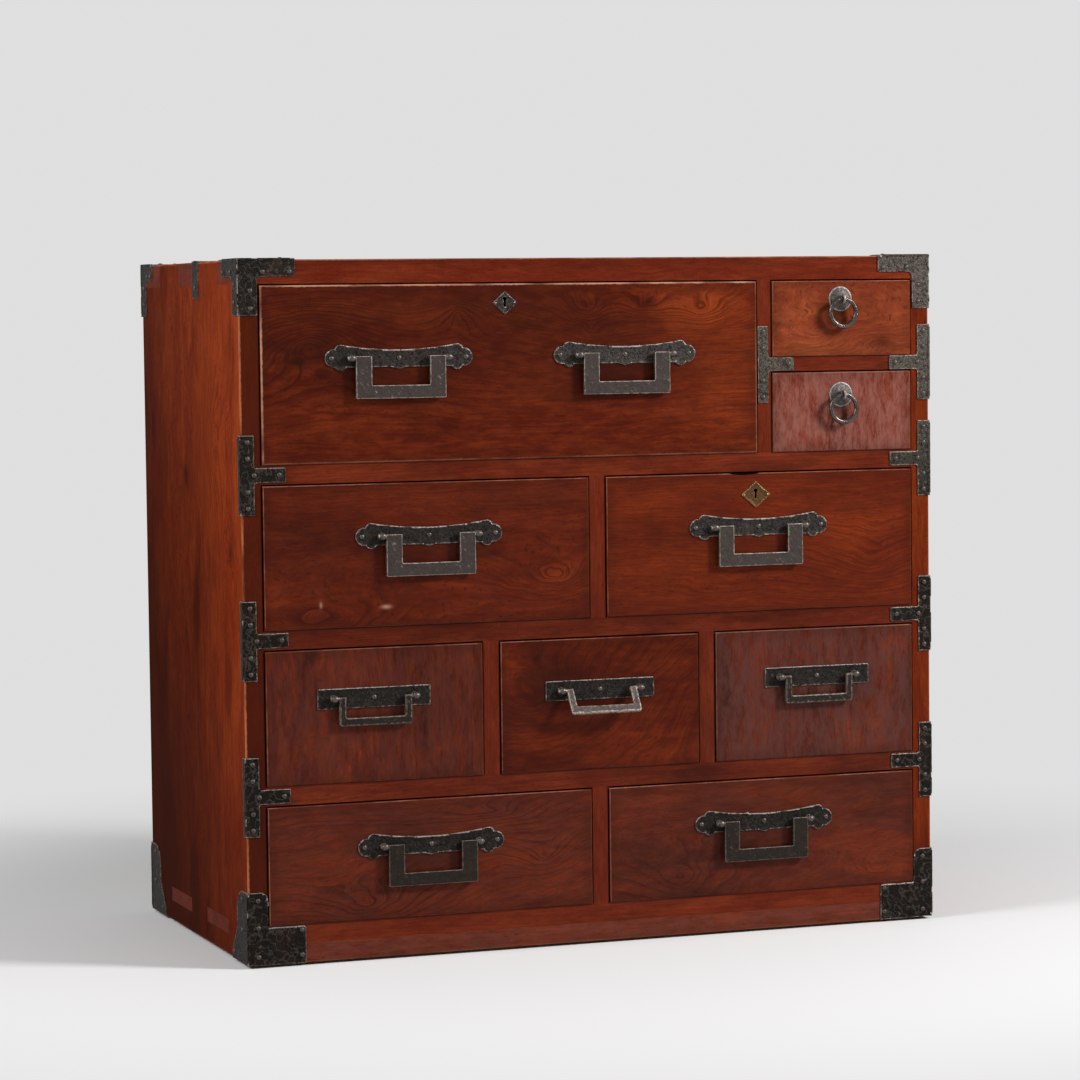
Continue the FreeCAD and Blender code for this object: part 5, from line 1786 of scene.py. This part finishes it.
@dataclass(frozen=True)
class FootIron(FoldedIron):
    """A two-leaved bottom corner piece with a flared side leaf."""

    reach: float = 59.0 * MM
    height: float = 37.4 * MM
    upright: float = 20.0 * MM
    rise: float = 73.0 * MM
    top_round: float = 8.0 * MM
    side_width: float = 38.0 * MM
    side_round: float = 22.0 * MM
    flare: float = 57.0 * MM
    waist: float = 34.0 * MM
    toe: float = 8.0 * MM
    fillet: float = 2.5 * MM
    margin: float = 8.25 * MM

    def build(self, bm: BMesh, corner: Corner) -> list[NailPlace]:
        """Adds the iron of one corner.

        Args:
            bm: The mesh to add to.
            corner: The case's edge that it is nailed to.

        Returns:
            Its nails' places.
        """
        low = corner.case.low.z
        front = [
            (-self.wall, low, 0), (self.reach, low, 0), (self.reach, low + self.height, self.fillet),
            (self.upright, low + self.height, self.fillet), (self.upright, low + self.rise, self.top_round),
            (-self.wall, low + self.rise, 0)]
        side = [
            (-self.wall, low, 0), (self.flare, low, 0), (self.flare, low + self.toe, self.fillet),
            (self.side_width, low + self.waist, self.side_round),
            (self.side_width, low + self.rise, self.side_round), (-self.wall, low + self.rise, 0)]
        face, flank = corner.face(), corner.flank()
        self.forge(bm, [(face, front), (flank, side)])
        half = self.margin / 2
        on_face = [
            (self.upright / 2, self.rise - self.margin), (self.upright / 2, self.height),
            (self.reach - half, self.height - half), (self.reach - half, self.margin),
            (self.upright / 2, self.margin)]
        on_flank = [
            (self.side_width / 2, self.rise - self.margin), (self.side_width / 2, self.waist),
            (self.flare - self.margin, self.margin)]
        nails = [(face.at(u, low + v), face.outward) for u, v in on_face]
        return nails + [(flank.at(u, low + v), flank.outward) for u, v in on_flank]


@dataclass(frozen=True)
class RailStrap(FoldedIron):
    """A T-strap that ties a rail to the case's edge."""

    length: float = 79.0 * MM
    width: float = 13.2 * MM
    reach: float = 45.5 * MM
    arm: float = 14.5 * MM
    wrap: float = 8.0 * MM
    fillet: float = 2.5 * MM

    def tee(self, edge: float, middle: float) -> Corners:
        """The corners of a T whose stem starts at an edge.

        Args:
            edge: Where the stem starts across the plane.
            middle: The arm's middle height.

        Returns:
            The corners in order, with their radii.
        """
        half, arm, stem, reach = self.length / 2, self.arm / 2, edge + self.width, edge + self.reach
        if not edge:
            edge = -self.wall
        return [
            (edge, middle - half, 0), (stem, middle - half, MM), (stem, middle - arm, self.fillet),
            (reach, middle - arm, MM), (reach, middle + arm, MM), (stem, middle + arm, self.fillet),
            (stem, middle + half, MM), (edge, middle + half, 0)]

    def stem_nails(self, plane: Plane, edge: float, middle: float) -> list[NailPlace]:
        """The nails down the stem and at the end of the arm.

        Args:
            plane: The strap's outside.
            edge: Where the stem starts.
            middle: The arm's middle height.

        Returns:
            The nails' places.
        """
        end = (self.length - self.width) / 2
        line = edge + self.width / 2
        nails = [(plane.at(line, middle + step), plane.outward) for step in (-end, -end / 2, end / 2, end)]
        return nails + [(plane.at(edge + self.reach - self.width / 2, middle), plane.outward)]

    def build(self, bm: BMesh, corner: Corner, middle: float) -> list[NailPlace]:
        """Adds a strap at a rail's middle height.

        Args:
            bm: The mesh to add to.
            corner: The case's edge that it is nailed to.
            middle: The rail's middle height.

        Returns:
            Its nails' places.
        """
        half = self.length / 2
        side = [
            (-self.wall, middle - half, 0), (self.wrap, middle - half, MM), (self.wrap, middle + half, MM),
            (-self.wall, middle + half, 0)]
        face, flank = corner.face(), corner.flank()
        self.forge(bm, [(face, self.tee(0.0, middle)), (flank, side)])
        return self.stem_nails(face, 0.0, middle) + [(face.at(self.width, middle), face.outward)]


@dataclass(frozen=True)
class DividerStrap(RailStrap):
    """The flat T-strap on the partition beside the small drawers."""

    width: float = 11.5 * MM
    reach: float = 40.5 * MM
    arm: float = 13.5 * MM

    def lay(self, bm: BMesh, plane: Plane, edge: float, middle: float) -> list[NailPlace]:
        """Adds the strap at an edge and a height, and returns its nails' places."""
        self.forge(bm, [(plane, self.tee(edge, middle))])
        return self.stem_nails(plane, edge, middle)


@dataclass(frozen=True)
class EdgeStrap(FoldedIron):
    """A narrow strap folded over the top edge of a side."""

    width: float = 22.0 * MM
    drop: float = 37.0 * MM
    from_front: float = 162.0 * MM

    def build(self, bm: BMesh, corner: Corner) -> list[NailPlace]:
        """Adds the strap.

        Args:
            bm: The mesh to add to.
            corner: The case's edge that it is nailed to.

        Returns:
            Its nails' places.
        """
        top = corner.case.high.z
        first, last = self.from_front - self.width / 2, self.from_front + self.width / 2
        side = [
            (first, top - self.drop, MM), (last, top - self.drop, MM), (last, top + self.wall, 0),
            (first, top + self.wall, 0)]
        lid = [(-self.wall, first, 0), (self.drop, first, MM), (self.drop, last, MM), (-self.wall, last, 0)]
        flank, crown = corner.flank(), corner.crown()
        self.forge(bm, [(flank, side), (crown, lid)])
        tail = self.drop - self.width / 2
        return [
            (flank.at(self.from_front, top - tail), flank.outward),
            (crown.at(tail, self.from_front), crown.outward)]


@dataclass(frozen=True)
class CaseIrons:
    """Every iron that is nailed on the case."""

    shop: Workshop
    case: Block
    iron: float = 1.3 * MM
    front_top_gap: float = 1.5 * MM
    running_gap: float = 0.3 * MM
    ease: float = 0.35 * MM

    def rail_middle(self, below: str, above: str) -> float:
        """The middle height of the rail between two drawers."""
        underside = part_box(below + "_front")[1].z + self.front_top_gap
        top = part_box(above + "_front")[0].z - self.running_gap
        return (underside + top) / 2

    def nail_on(
            self, name: str, bm: BMesh, material: Material, node: str,
            thickness: Thickness = Thickness()) -> None:
        """Makes a piece of the case's ironwork that stands for one CAD node."""
        self.shop.piece(name, bm, material, "case", Slot.CASE_IRON, [node], thickness)

    def build(self) -> None:
        """Makes the corner pieces, the straps and their nails."""
        sides = (False, True)
        corners = [Corner(self.case, right, back, self.iron) for right in sides for back in sides]
        nails: list[NailPlace] = []
        bm = bmesh.new()
        for corner in corners:
            nails += CornerIron().build(bm, corner) + FootIron().build(bm, corner)
        walls = Thickness(self.iron, self.ease)
        self.nail_on("forged_corners", bm, self.shop.case_iron, "corner_irons", walls)
        rails = [
            self.rail_middle("bottom_left_drawer", "third_left_drawer"),
            self.rail_middle("third_left_drawer", "second_left_drawer"),
            self.rail_middle("second_left_drawer", "big_drawer")]
        small = self.rail_middle("lower_small_drawer", "upper_small_drawer")
        bm = bmesh.new()
        for corner in corners:
            if corner.back:
                continue
            for middle in rails + [small] * corner.right:
                nails += RailStrap().build(bm, corner, middle)
            nails += EdgeStrap().build(bm, corner)
        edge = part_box("upper_partition")[0].x - self.case.low.x
        nails += DividerStrap().lay(bm, corners[0].face(), edge, small)
        self.nail_on("forged_straps", bm, self.shop.case_iron, "edge_straps", walls)
        bm = bmesh.new()
        head = NailHead()
        for at, outward in nails:
            head.drive(bm, at, outward)
        face_outwards(bm)
        self.nail_on("forged_nails", bm, self.shop.case_nail_iron, "case_nails")


# ---------- boards
CASE_WOOD = WoodFinish(
    "case_wood", early=paint(0.115, 0.0135, 0.0042), late=paint(0.05, 0.006, 0.0025),
    flame=paint(0.23, 0.036, 0.01), ring_width=5.0, wander=7.0, lean=0.02, pith_across=-120.0, contrast=0.28,
    border=0.2, roughness=0.38)
RAW_WOOD = WoodFinish(
    "raw_wood", early=paint(0.34, 0.2, 0.1), late=paint(0.19, 0.1, 0.045), flame=paint(0.42, 0.27, 0.14),
    shade=paint(0.13, 0.075, 0.042), bare=paint(0.42, 0.29, 0.17), bloom_colour=paint(0.28, 0.2, 0.13),
    ring_width=4.0, wander=6.0, bloom=0.3, contrast=0.5, roughness=0.72, coat=0.0, wear=0.3, border=0.2)


@dataclass(frozen=True)
class CaseBoards:
    """The solid boards of the case."""

    shop: Workshop
    case: Block
    next_log: float = 31.0

    def finishes(self) -> dict[str, WoodFinish]:
        """The finish of each board by its node's name.

        Returns:
            Finishes that differ in grain, log and tint.
        """
        wood = CASE_WOOD
        half = 1000 * self.case.half.x
        ends = (Swirl(-half, 0, 3, 900, 0.3), Swirl(half, 0, 3, 900, 0.3))
        deep = 1000 * self.case.half.y
        side = vary(
            wood, "side_wood", lay=Lay.SIDE_UPRIGHT, early=paint(0.165, 0.017, 0.0032),
            flame=paint(0.31, 0.048, 0.008), late=paint(0.045, 0.0076, 0.0038), bare=paint(0.42, 0.13, 0.06),
            ring_width=9.0, wander=26.0, contrast=0.3, knot_contrast=0.1, wear_reach=2.6, wear=0.8,
            flame_share=0.6, fibre=0.55, coat=0.04, border=0.1, front_edge=0.85)
        return {
            # Painted shade: the broad dark marks darken the left side towards the back, at the bottom and
            # across the middle; painted light: the glows brighten it towards the top front.
            "side_left": vary(
                side, "side_left_wood", pith_across=40.0, pith_out=120.0, log=310.0,
                knots=(Swirl(170, -95, 60, 40, 60), Swirl(60, -130, 40, 24, 36)),
                stains=(
                    Swirl(-60, deep + 25, 700, 190, 0.85), Swirl(-390, 0, 260, 500, 0.5),
                    Swirl(-20, -20, 260, 80, 0.32),
                    Swirl(130, 20, 12, 8, 0.5), Swirl(60, -150, 10, 8, 0.5)),
                glows=(Swirl(200, -90, 200, 80, 0.4), Swirl(190, -deep, 260, 24, 0.5))),
            # Painted shade: the broad dark mark darkens the right side towards the back.
            "side_right": vary(
                side, "side_right_wood", pith_across=-30.0, pith_out=-120.0, log=520.0, front_edge=0.3,
                stains=(Swirl(0, deep + 25, 900, 150, 0.5),)),
            "top_board": vary(
                wood, "top_board_wood", lay=Lay.TOP_ALONG, ring_width=7.0, pith_across=0.0, wander=18.0,
                log=77.0, early=paint(0.135, 0.0145, 0.004), flame_share=0.8, wear_reach=1.8, coat=0.12,
                stains=ends),
            "bottom_board": vary(wood, "bottom_board_wood", lay=Lay.TOP_ALONG, log=95.0, stains=ends),
            "base_rails": vary(
                wood, "base_rail_wood", early=paint(0.12, 0.021, 0.009), log=140.0, shade_share=0.5,
                ring_width=3.5, bloom=0.3),
            # Painted shade: the two broad dark marks darken two of the lower rails.
            "front_rails": vary(
                wood, "front_rail_wood", log=181.0, shade_share=0.5, flame_share=0.6, fibre=0.6,
                stains=(Swirl(-100, -46, 400, 24, 0.4), Swirl(0, -214, 400, 24, 0.2))),
            "upper_partition": vary(wood, "upper_partition_wood", lay=Lay.SIDE_UPRIGHT, log=222.0),
            "lower_partitions": vary(wood, "lower_partition_wood", lay=Lay.SIDE_UPRIGHT, log=263.0),
        }

    def build(self) -> None:
        """Dresses the boards."""
        for node, finish in self.finishes().items():
            self.shop.dress(node, finish.material(self.shop.shared, Block.of(node), self.case))
        lays = {"back_boards": Lay.FRONT_ALONG, "skids": Lay.FRONT_ALONG, "shelf_boards": Lay.TOP_ALONG}
        for number, (node, lay) in enumerate(lays.items()):
            finish = vary(RAW_WOOD, node + "_wood", lay=lay, log=self.next_log * number)
            board = Block.of(node)
            self.shop.dress(node, finish.material(self.shop.shared, board, board))


def vary(finish: WoodFinish, name: str, **changes: object) -> WoodFinish:
    """A copy of a finish under its own name with some fields changed."""
    return dataclasses.replace(finish, name=name, **changes)


def front_finishes() -> dict[str, WoodFinish]:
    """The figure of each drawer front by the drawer's name.

    Returns:
        One finish for each drawer. Swirls are placed from the middle of the front.
    """
    plain = WoodFinish("front_wood")
    upright = vary(
        plain, "upright_wood", lay=Lay.FRONT_UPRIGHT, ring_width=7.0, wander=16.0, contrast=0.3, fibre=0.7,
        mottle=0.6, roughness=0.44)
    return {
        # Painted light and shade: the broad glow at the right end and the broad dark mark at the upper left
        # stand for the key lamp's fall-off from right to left.
        "big_drawer": vary(
            plain, "big_drawer_wood", ring_width=5.5, pith_across=-130.0, pith_out=70.0, lean=0.03,
            wander=12.0, log=11.0, flame=paint(0.26, 0.04, 0.008), flame_share=0.3, wear=1.0, wear_reach=2.6,
            knots=(
                Swirl(-214, 30, 60, 44, -70), Swirl(75, 66, 22, 18, 36), Swirl(143, 66, 24, 15, 28),
                Swirl(83, 40, 16, 11, 22), Swirl(205, 60, 44, 22, 36), Swirl(-58, 58, 22, 22, -34)),
            stains=(
                Swirl(-215, 45, 90, 60, 0.3), Swirl(-230, 13, 9, 4, 0.8), Swirl(-30, 66, 140, 22, 0.4),
                Swirl(143, 66, 7, 5, 0.6), Swirl(150, 10, 90, 26, 0.2), Swirl(-10, 30, 130, 60, 0.3)),
            glows=(Swirl(-85, 62, 60, 10, 0.35), Swirl(196, 60, 40, 18, 1.0), Swirl(235, -10, 70, 90, 0.3))),
        "upper_small_drawer": vary(
            plain, "upper_small_drawer_wood", ring_width=9.0, pith_across=10.0, pith_out=60.0, wander=30.0,
            log=23.0, early=paint(0.21, 0.034, 0.012), flame=paint(0.33, 0.075, 0.024), flame_share=0.6,
            shade_share=0.4, contrast=0.15,
            stains=(Swirl(45, -25, 14, 10, 0.5), Swirl(-48, -36, 18, 8, 0.3)),
            glows=(Swirl(-30, -30, 40, 14, 0.4),)),
        "lower_small_drawer": vary(
            upright, "lower_small_drawer_wood", pith_across=90.0, log=37.0, early=paint(0.2, 0.03, 0.014),
            bloom=0.9, bloom_colour=paint(0.23, 0.085, 0.066), flame_share=0.9, shade_share=0.4, wear=0.4,
            relief=0.9),
        "second_left_drawer": vary(
            plain, "second_left_drawer_wood", ring_width=4.6, pith_across=-85.0, pith_out=140.0, lean=0.0,
            wander=9.0, log=41.0, pores=0.6, bloom=0.1, bloom_colour=paint(0.12, 0.035, 0.024), contrast=0.3,
            knot_contrast=0.4,
            knots=(Swirl(134, -26, 44, 18, 32), Swirl(-120, -60, 80, 26, 36)),
            stains=(Swirl(-130, 20, 70, 50, 0.3),),
            glows=(Swirl(138, -28, 20, 8, 0.9),),
            chips=(Swirl(-46, -52, 5, 2, 0.8), Swirl(-114, -48, 1.5, 3, 0.6))),
        "second_right_drawer": vary(
            plain, "second_right_drawer_wood", ring_width=3.8, pith_across=-150.0, lean=0.01, wander=9.0,
            log=53.0, early=paint(0.11, 0.0138, 0.004), contrast=0.24, flame_share=0.6,
            knots=(Swirl(128, -26, 90, 60, 38), Swirl(-60, -50, 120, 20, 20)), knot_contrast=0.08,
            glows=(Swirl(92, 2, 30, 20, 0.6), Swirl(128, 22, 40, 13, 0.45), Swirl(-20, -4, 60, 14, 0.3))),
        "third_left_drawer": vary(
            upright, "third_left_drawer_wood", pith_across=60.0, log=67.0, early=paint(0.078, 0.011, 0.0047),
            bloom=0.65, bloom_colour=paint(0.082, 0.022, 0.0155), shade_share=0.7, flame_share=0.5,
            mottle=0.85, knots=(Swirl(-62, -66, 9, 6, 20),),
            stains=(Swirl(-62, -66, 6, 4, 0.8), Swirl(20, -80, 50, 30, 0.3))),
        "third_middle_drawer": vary(
            plain, "third_middle_drawer_wood", ring_width=7.5, early=paint(0.074, 0.0073, 0.0018),
            pith_across=-60.0, pith_out=110.0, lean=0.25, wander=7.0, log=71.0, flame_share=0.6,
            contrast=0.14, knot_contrast=0.2,
            knots=(Swirl(-72, 8, 110, 80, 115),),
            stains=(Swirl(-60, 28, 34, 26, 0.35), Swirl(-70, 48, 4, 3, 0.8), Swirl(30, 30, 60, 50, 0.2))),
        "third_right_drawer": vary(
            upright, "third_right_drawer_wood", pith_across=-70.0, log=83.0,
            early=paint(0.088, 0.0138, 0.0062), bloom=0.9, bloom_colour=paint(0.084, 0.03, 0.024),
            shade_share=0.5, flame_share=0.8, relief=0.9,
            mottle=0.75, stains=(Swirl(0, 95, 70, 12, 0.4),)),
        "bottom_left_drawer": vary(
            plain, "bottom_left_drawer_wood", ring_width=5.5, pith_across=-100.0, pith_out=55.0, lean=0.12,
            wander=22.0, log=97.0, early=paint(0.084, 0.013, 0.0058), bloom=0.25, contrast=0.42,
            bloom_colour=paint(0.1, 0.032, 0.022),
            knots=(Swirl(-70, -44, 70, 30, 50), Swirl(60, 40, 90, 20, 30), Swirl(120, -6, 24, 18, 34)),
            glows=(Swirl(-20, -10, 130, 26, 0.25),)),
        "bottom_right_drawer": vary(
            plain, "bottom_right_drawer_wood", ring_width=8.0, pith_across=-70.0, pith_out=65.0, lean=0.1,
            wander=26.0, log=103.0, early=paint(0.078, 0.0118, 0.0053), bloom=0.25, shade_share=0.5,
            bloom_colour=paint(0.1, 0.032, 0.022),
            knots=(Swirl(-95, -40, 60, 40, 60),),
            stains=(Swirl(-130, -6, 42, 32, 0.4), Swirl(110, 40, 80, 20, 0.35)),
            glows=(Swirl(120, -22, 80, 20, 0.3),)),
    }


@dataclass(frozen=True)
class Drawers:
    """The ten drawers: their fronts, boxes, handles, locks and escutcheons.

    The reach, height and drop of the painted shadow and dirt behind a bail or a ring are in millimetres, and
    so is how far it lies to the left of them. lifted is how far the third row's middle bail stands out, in
    degrees.
    """

    shop: Workshop
    # Painted shadow and dirt behind the bails and the rings:
    grime_share: float = 0.42
    ring_grime_share: float = 0.63
    bail_grime: Triple = (74.0, 25.0, 13.0)
    ring_grime: Triple = (17.0, 18.0, 20.0)
    grime_left: float = 9.0
    lifted: float = 35.0

    def grime(self, drawer: str, board: Block, lay: Lay) -> tuple[Swirl, ...]:
        """The dark marks round a drawer's handles: painted shadow that the handles throw, with some dirt.

        Args:
            drawer: The drawer's name.
            board: The front's box.
            lay: How the front's grain runs.

        Returns:
            Marks behind each handle, a little to the left and below it, where the key lamp on the right
            throws its shadow.
        """
        marks = []
        for body in self.shop.frame["bodies"]:
            if body.startswith(drawer) and (body.endswith("_bail") or body.endswith("_ring")):
                offset = (self.shop.pivot(body) - board.middle) / MM
                ring = body.endswith("_ring")
                reach, height, drop = self.ring_grime if ring else self.bail_grime
                share = self.ring_grime_share if ring else self.grime_share
                along, across = offset.x - self.grime_left, offset.z - drop
                if lay is Lay.FRONT_UPRIGHT:
                    marks.append(Swirl(across, -along, height, reach, share))
                else:
                    marks.append(Swirl(along, across, reach, height, share))
        return tuple(marks)

    def wood(self) -> None:
        """Dresses the fronts and the boxes."""
        for name, finish in front_finishes().items():
            board = Block.of(name + "_front")
            # The fronts' dark marks gain the painted shadows and dirt behind the handles.
            finish = vary(finish, finish.name, stains=finish.stains + self.grime(name, board, finish.lay))
            self.shop.dress(name + "_front", finish.material(self.shop.shared, board, board))
            box = Block.of(name + "_box")
            bare = vary(RAW_WOOD, name + "_box_wood", lay=Lay.TOP_DEEP, log=finish.log)
            self.shop.dress(name + "_box", bare.material(self.shop.shared, box, box))

    def handles(self) -> None:
        """Makes the bails, plates and rings."""
        shop = self.shop
        for side in ("left", "right"):
            LargeHandle(f"big_drawer_{side}_bail", "big_drawer", shop, shop.handle_iron).build()
        for row, iron in (("second", shop.handle_iron), ("bottom", shop.dark_iron)):
            for side in ("left", "right"):
                drawer = f"{row}_{side}_drawer"
                LargeHandle(drawer + "_bail", drawer, shop, iron).build()
        for drawer, iron, lean in (
                ("third_left_drawer", shop.dark_iron, 0.0),
                ("third_middle_drawer", shop.worn_iron, math.radians(self.lifted)),
                ("third_right_drawer", shop.dark_iron, 0.0)):
            MediumHandle(drawer + "_bail", drawer, shop, iron, lean=lean).build()
        for drawer in ("upper_small_drawer", "lower_small_drawer"):
            RingPull(drawer, shop).build()

    def locks(self) -> None:
        """Dresses the locks and makes the escutcheons."""
        shop = self.shop
        plates = (
            Escutcheon(
                "iron_escutcheon", "big_drawer", shop, shop.plate_iron, Slot.HANDLE_IRON,
                "big_drawer_ironwork", width=26.0 * MM, height=22.7 * MM, drop=19.5 * MM),
            Escutcheon(
                "brass_plate", "second_right_drawer", shop, shop.brass, Slot.BRASS, "brass_escutcheon",
                width=32.0 * MM, height=27.0 * MM, drop=22.5 * MM, scallop=2.6 * MM))
        for plate in plates:
            shop.dress(plate.drawer + "_lock_case", shop.steel)
            shop.dress(plate.drawer + "_lock_bolt", shop.steel)
            plate.build()

    def build(self) -> None:
        """Makes and dresses everything on the drawers."""
        self.wood()
        self.handles()
        self.locks()


# ---------- studio
@dataclass(frozen=True)
class Lamp:
    """A soft square lamp that is aimed at the middle of the chest."""

    name: str
    at: Vector
    width: float
    watts: float
    aim_height: float = 0.35

    def build(self) -> None:
        """Adds the lamp."""
        light = bpy.data.lights.new(self.name, "AREA")
        light.shape = "SQUARE"
        light.size = self.width
        light.energy = self.watts
        lamp = bpy.data.objects.new(self.name, light)
        lamp.location = self.at
        lamp.rotation_euler = (UP * self.aim_height - self.at).to_track_quat("-Z", "Y").to_euler()
        bpy.context.scene.collection.objects.link(lamp)


@dataclass(frozen=True)
class Studio:
    """A pale floor that fades into a pale surround, soft lamps and the camera.

    Lengths are in metres, angles in degrees, and the lens and its sensor in millimetres.
    """

    floor_radius: float = 14.0
    floor_roughness: float = 0.8
    floor_shine: float = 0.2
    fade_start: float = 0.55
    fade_end: float = 1.3
    pale: float = 0.74
    world_light: float = 0.22
    eye: Triple = (-1.32147, -3.64795, 0.6461)
    azimuth: float = -20.0
    elevation: float = 3.557
    roll: float = -0.669
    lens: float = 121.08
    sensor: float = 36.0

    def background(self) -> None:
        """Lights the object softly from all round, pale where the camera sees past it."""
        world = bpy.data.worlds.new("surround")
        bpy.context.scene.world = world
        world.use_nodes = True
        graph = Graph(world.node_tree)
        background = world.node_tree.nodes["Background"]
        graph.feed(background.inputs["Color"], paint(1.0, 1.0, 1.0))
        rays = graph.add("ShaderNodeLightPath").outputs
        sees = graph.math("MAXIMUM", rays["Is Camera Ray"], rays["Is Glossy Ray"])
        extra = graph.times(sees, self.pale - self.world_light)
        graph.feed(background.inputs["Strength"], graph.plus(extra, self.world_light))

    def floor(self) -> None:
        """Lays the floor."""
        bm = bmesh.new()
        bmesh.ops.create_circle(bm, cap_ends=True, segments=64, radius=self.floor_radius)
        mesh = bpy.data.meshes.new("floor")
        bm.to_mesh(mesh)
        bm.free()
        floor = bpy.data.objects.new("floor", mesh)
        bpy.context.scene.collection.objects.link(floor)
        graph, shader, material = new_material("pale_floor")
        pale = paint(self.pale, self.pale, self.pale)
        graph.fill(shader, {
            "Base Color": pale, "Roughness": self.floor_roughness, "Specular IOR Level": self.floor_shine})
        place = graph.add("ShaderNodeTexCoord").outputs["Object"]
        reach = graph.add("ShaderNodeVectorMath", operation="LENGTH")
        graph.feed(reach.inputs[0], place)
        far = graph.step(reach.outputs["Value"], self.fade_start, self.fade_end)
        glow = graph.add("ShaderNodeEmission")
        graph.feed(glow.inputs["Color"], pale)
        mix = graph.add("ShaderNodeMixShader")
        sees = graph.add("ShaderNodeLightPath").outputs["Is Camera Ray"]
        graph.feed(mix.inputs["Fac"], graph.times(far, sees))
        graph.feed(mix.inputs[1], shader.outputs[0])
        graph.feed(mix.inputs[2], glow.outputs[0])
        graph.feed(material.node_tree.nodes["Material Output"].inputs["Surface"], mix.outputs[0])
        mesh.materials.append(material)

    def lamps(self) -> None:
        """Hangs the lamps: a key from the right, and a weaker one from the left."""
        Lamp("key", at=Vector((2.3, -1.8, 1.95)), width=0.6, watts=119.0).build()
        Lamp("left", at=Vector((-2.7, -0.6, 1.9)), width=1.2, watts=70.0).build()

    def camera(self) -> None:
        """Sets the camera up."""
        azimuth, elevation, roll = map(math.radians, (self.azimuth, self.elevation, self.roll))
        back = Vector((
            math.sin(azimuth) * math.cos(elevation), -math.cos(azimuth) * math.cos(elevation),
            math.sin(elevation)))
        right = UP.cross(back).normalized()
        up = right.cross(-back)
        across = right * math.cos(roll) + up * math.sin(roll)
        rise = up * math.cos(roll) - right * math.sin(roll)
        lens = bpy.data.cameras.new("camera")
        lens.sensor_width = self.sensor
        lens.lens = self.lens
        camera = bpy.data.objects.new("camera", lens)
        turn = Matrix((across, rise, back)).transposed()
        camera.matrix_world = Matrix.Translation(self.eye) @ turn.to_4x4()
        bpy.context.scene.collection.objects.link(camera)
        bpy.context.scene.camera = camera

    def build(self) -> None:
        """Builds the studio."""
        bpy.context.scene.view_settings.view_transform = "Standard"
        self.background()
        self.floor()
        self.lamps()
        self.camera()


def main() -> None:
    """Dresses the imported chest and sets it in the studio."""
    logging.basicConfig(level=logging.INFO, format="%(name)s: %(message)s")
    noise.seed_set(HAMMER_SEED)
    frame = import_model()
    shop = Workshop(frame, SharedGroups.build())
    case = Block.of("side_left", "side_right", "top_board", "back_boards")
    CaseBoards(shop, case).build()
    Drawers(shop).build()
    CaseIrons(shop, case).build()
    Studio().build()


if __name__ == "__main__":
    main()
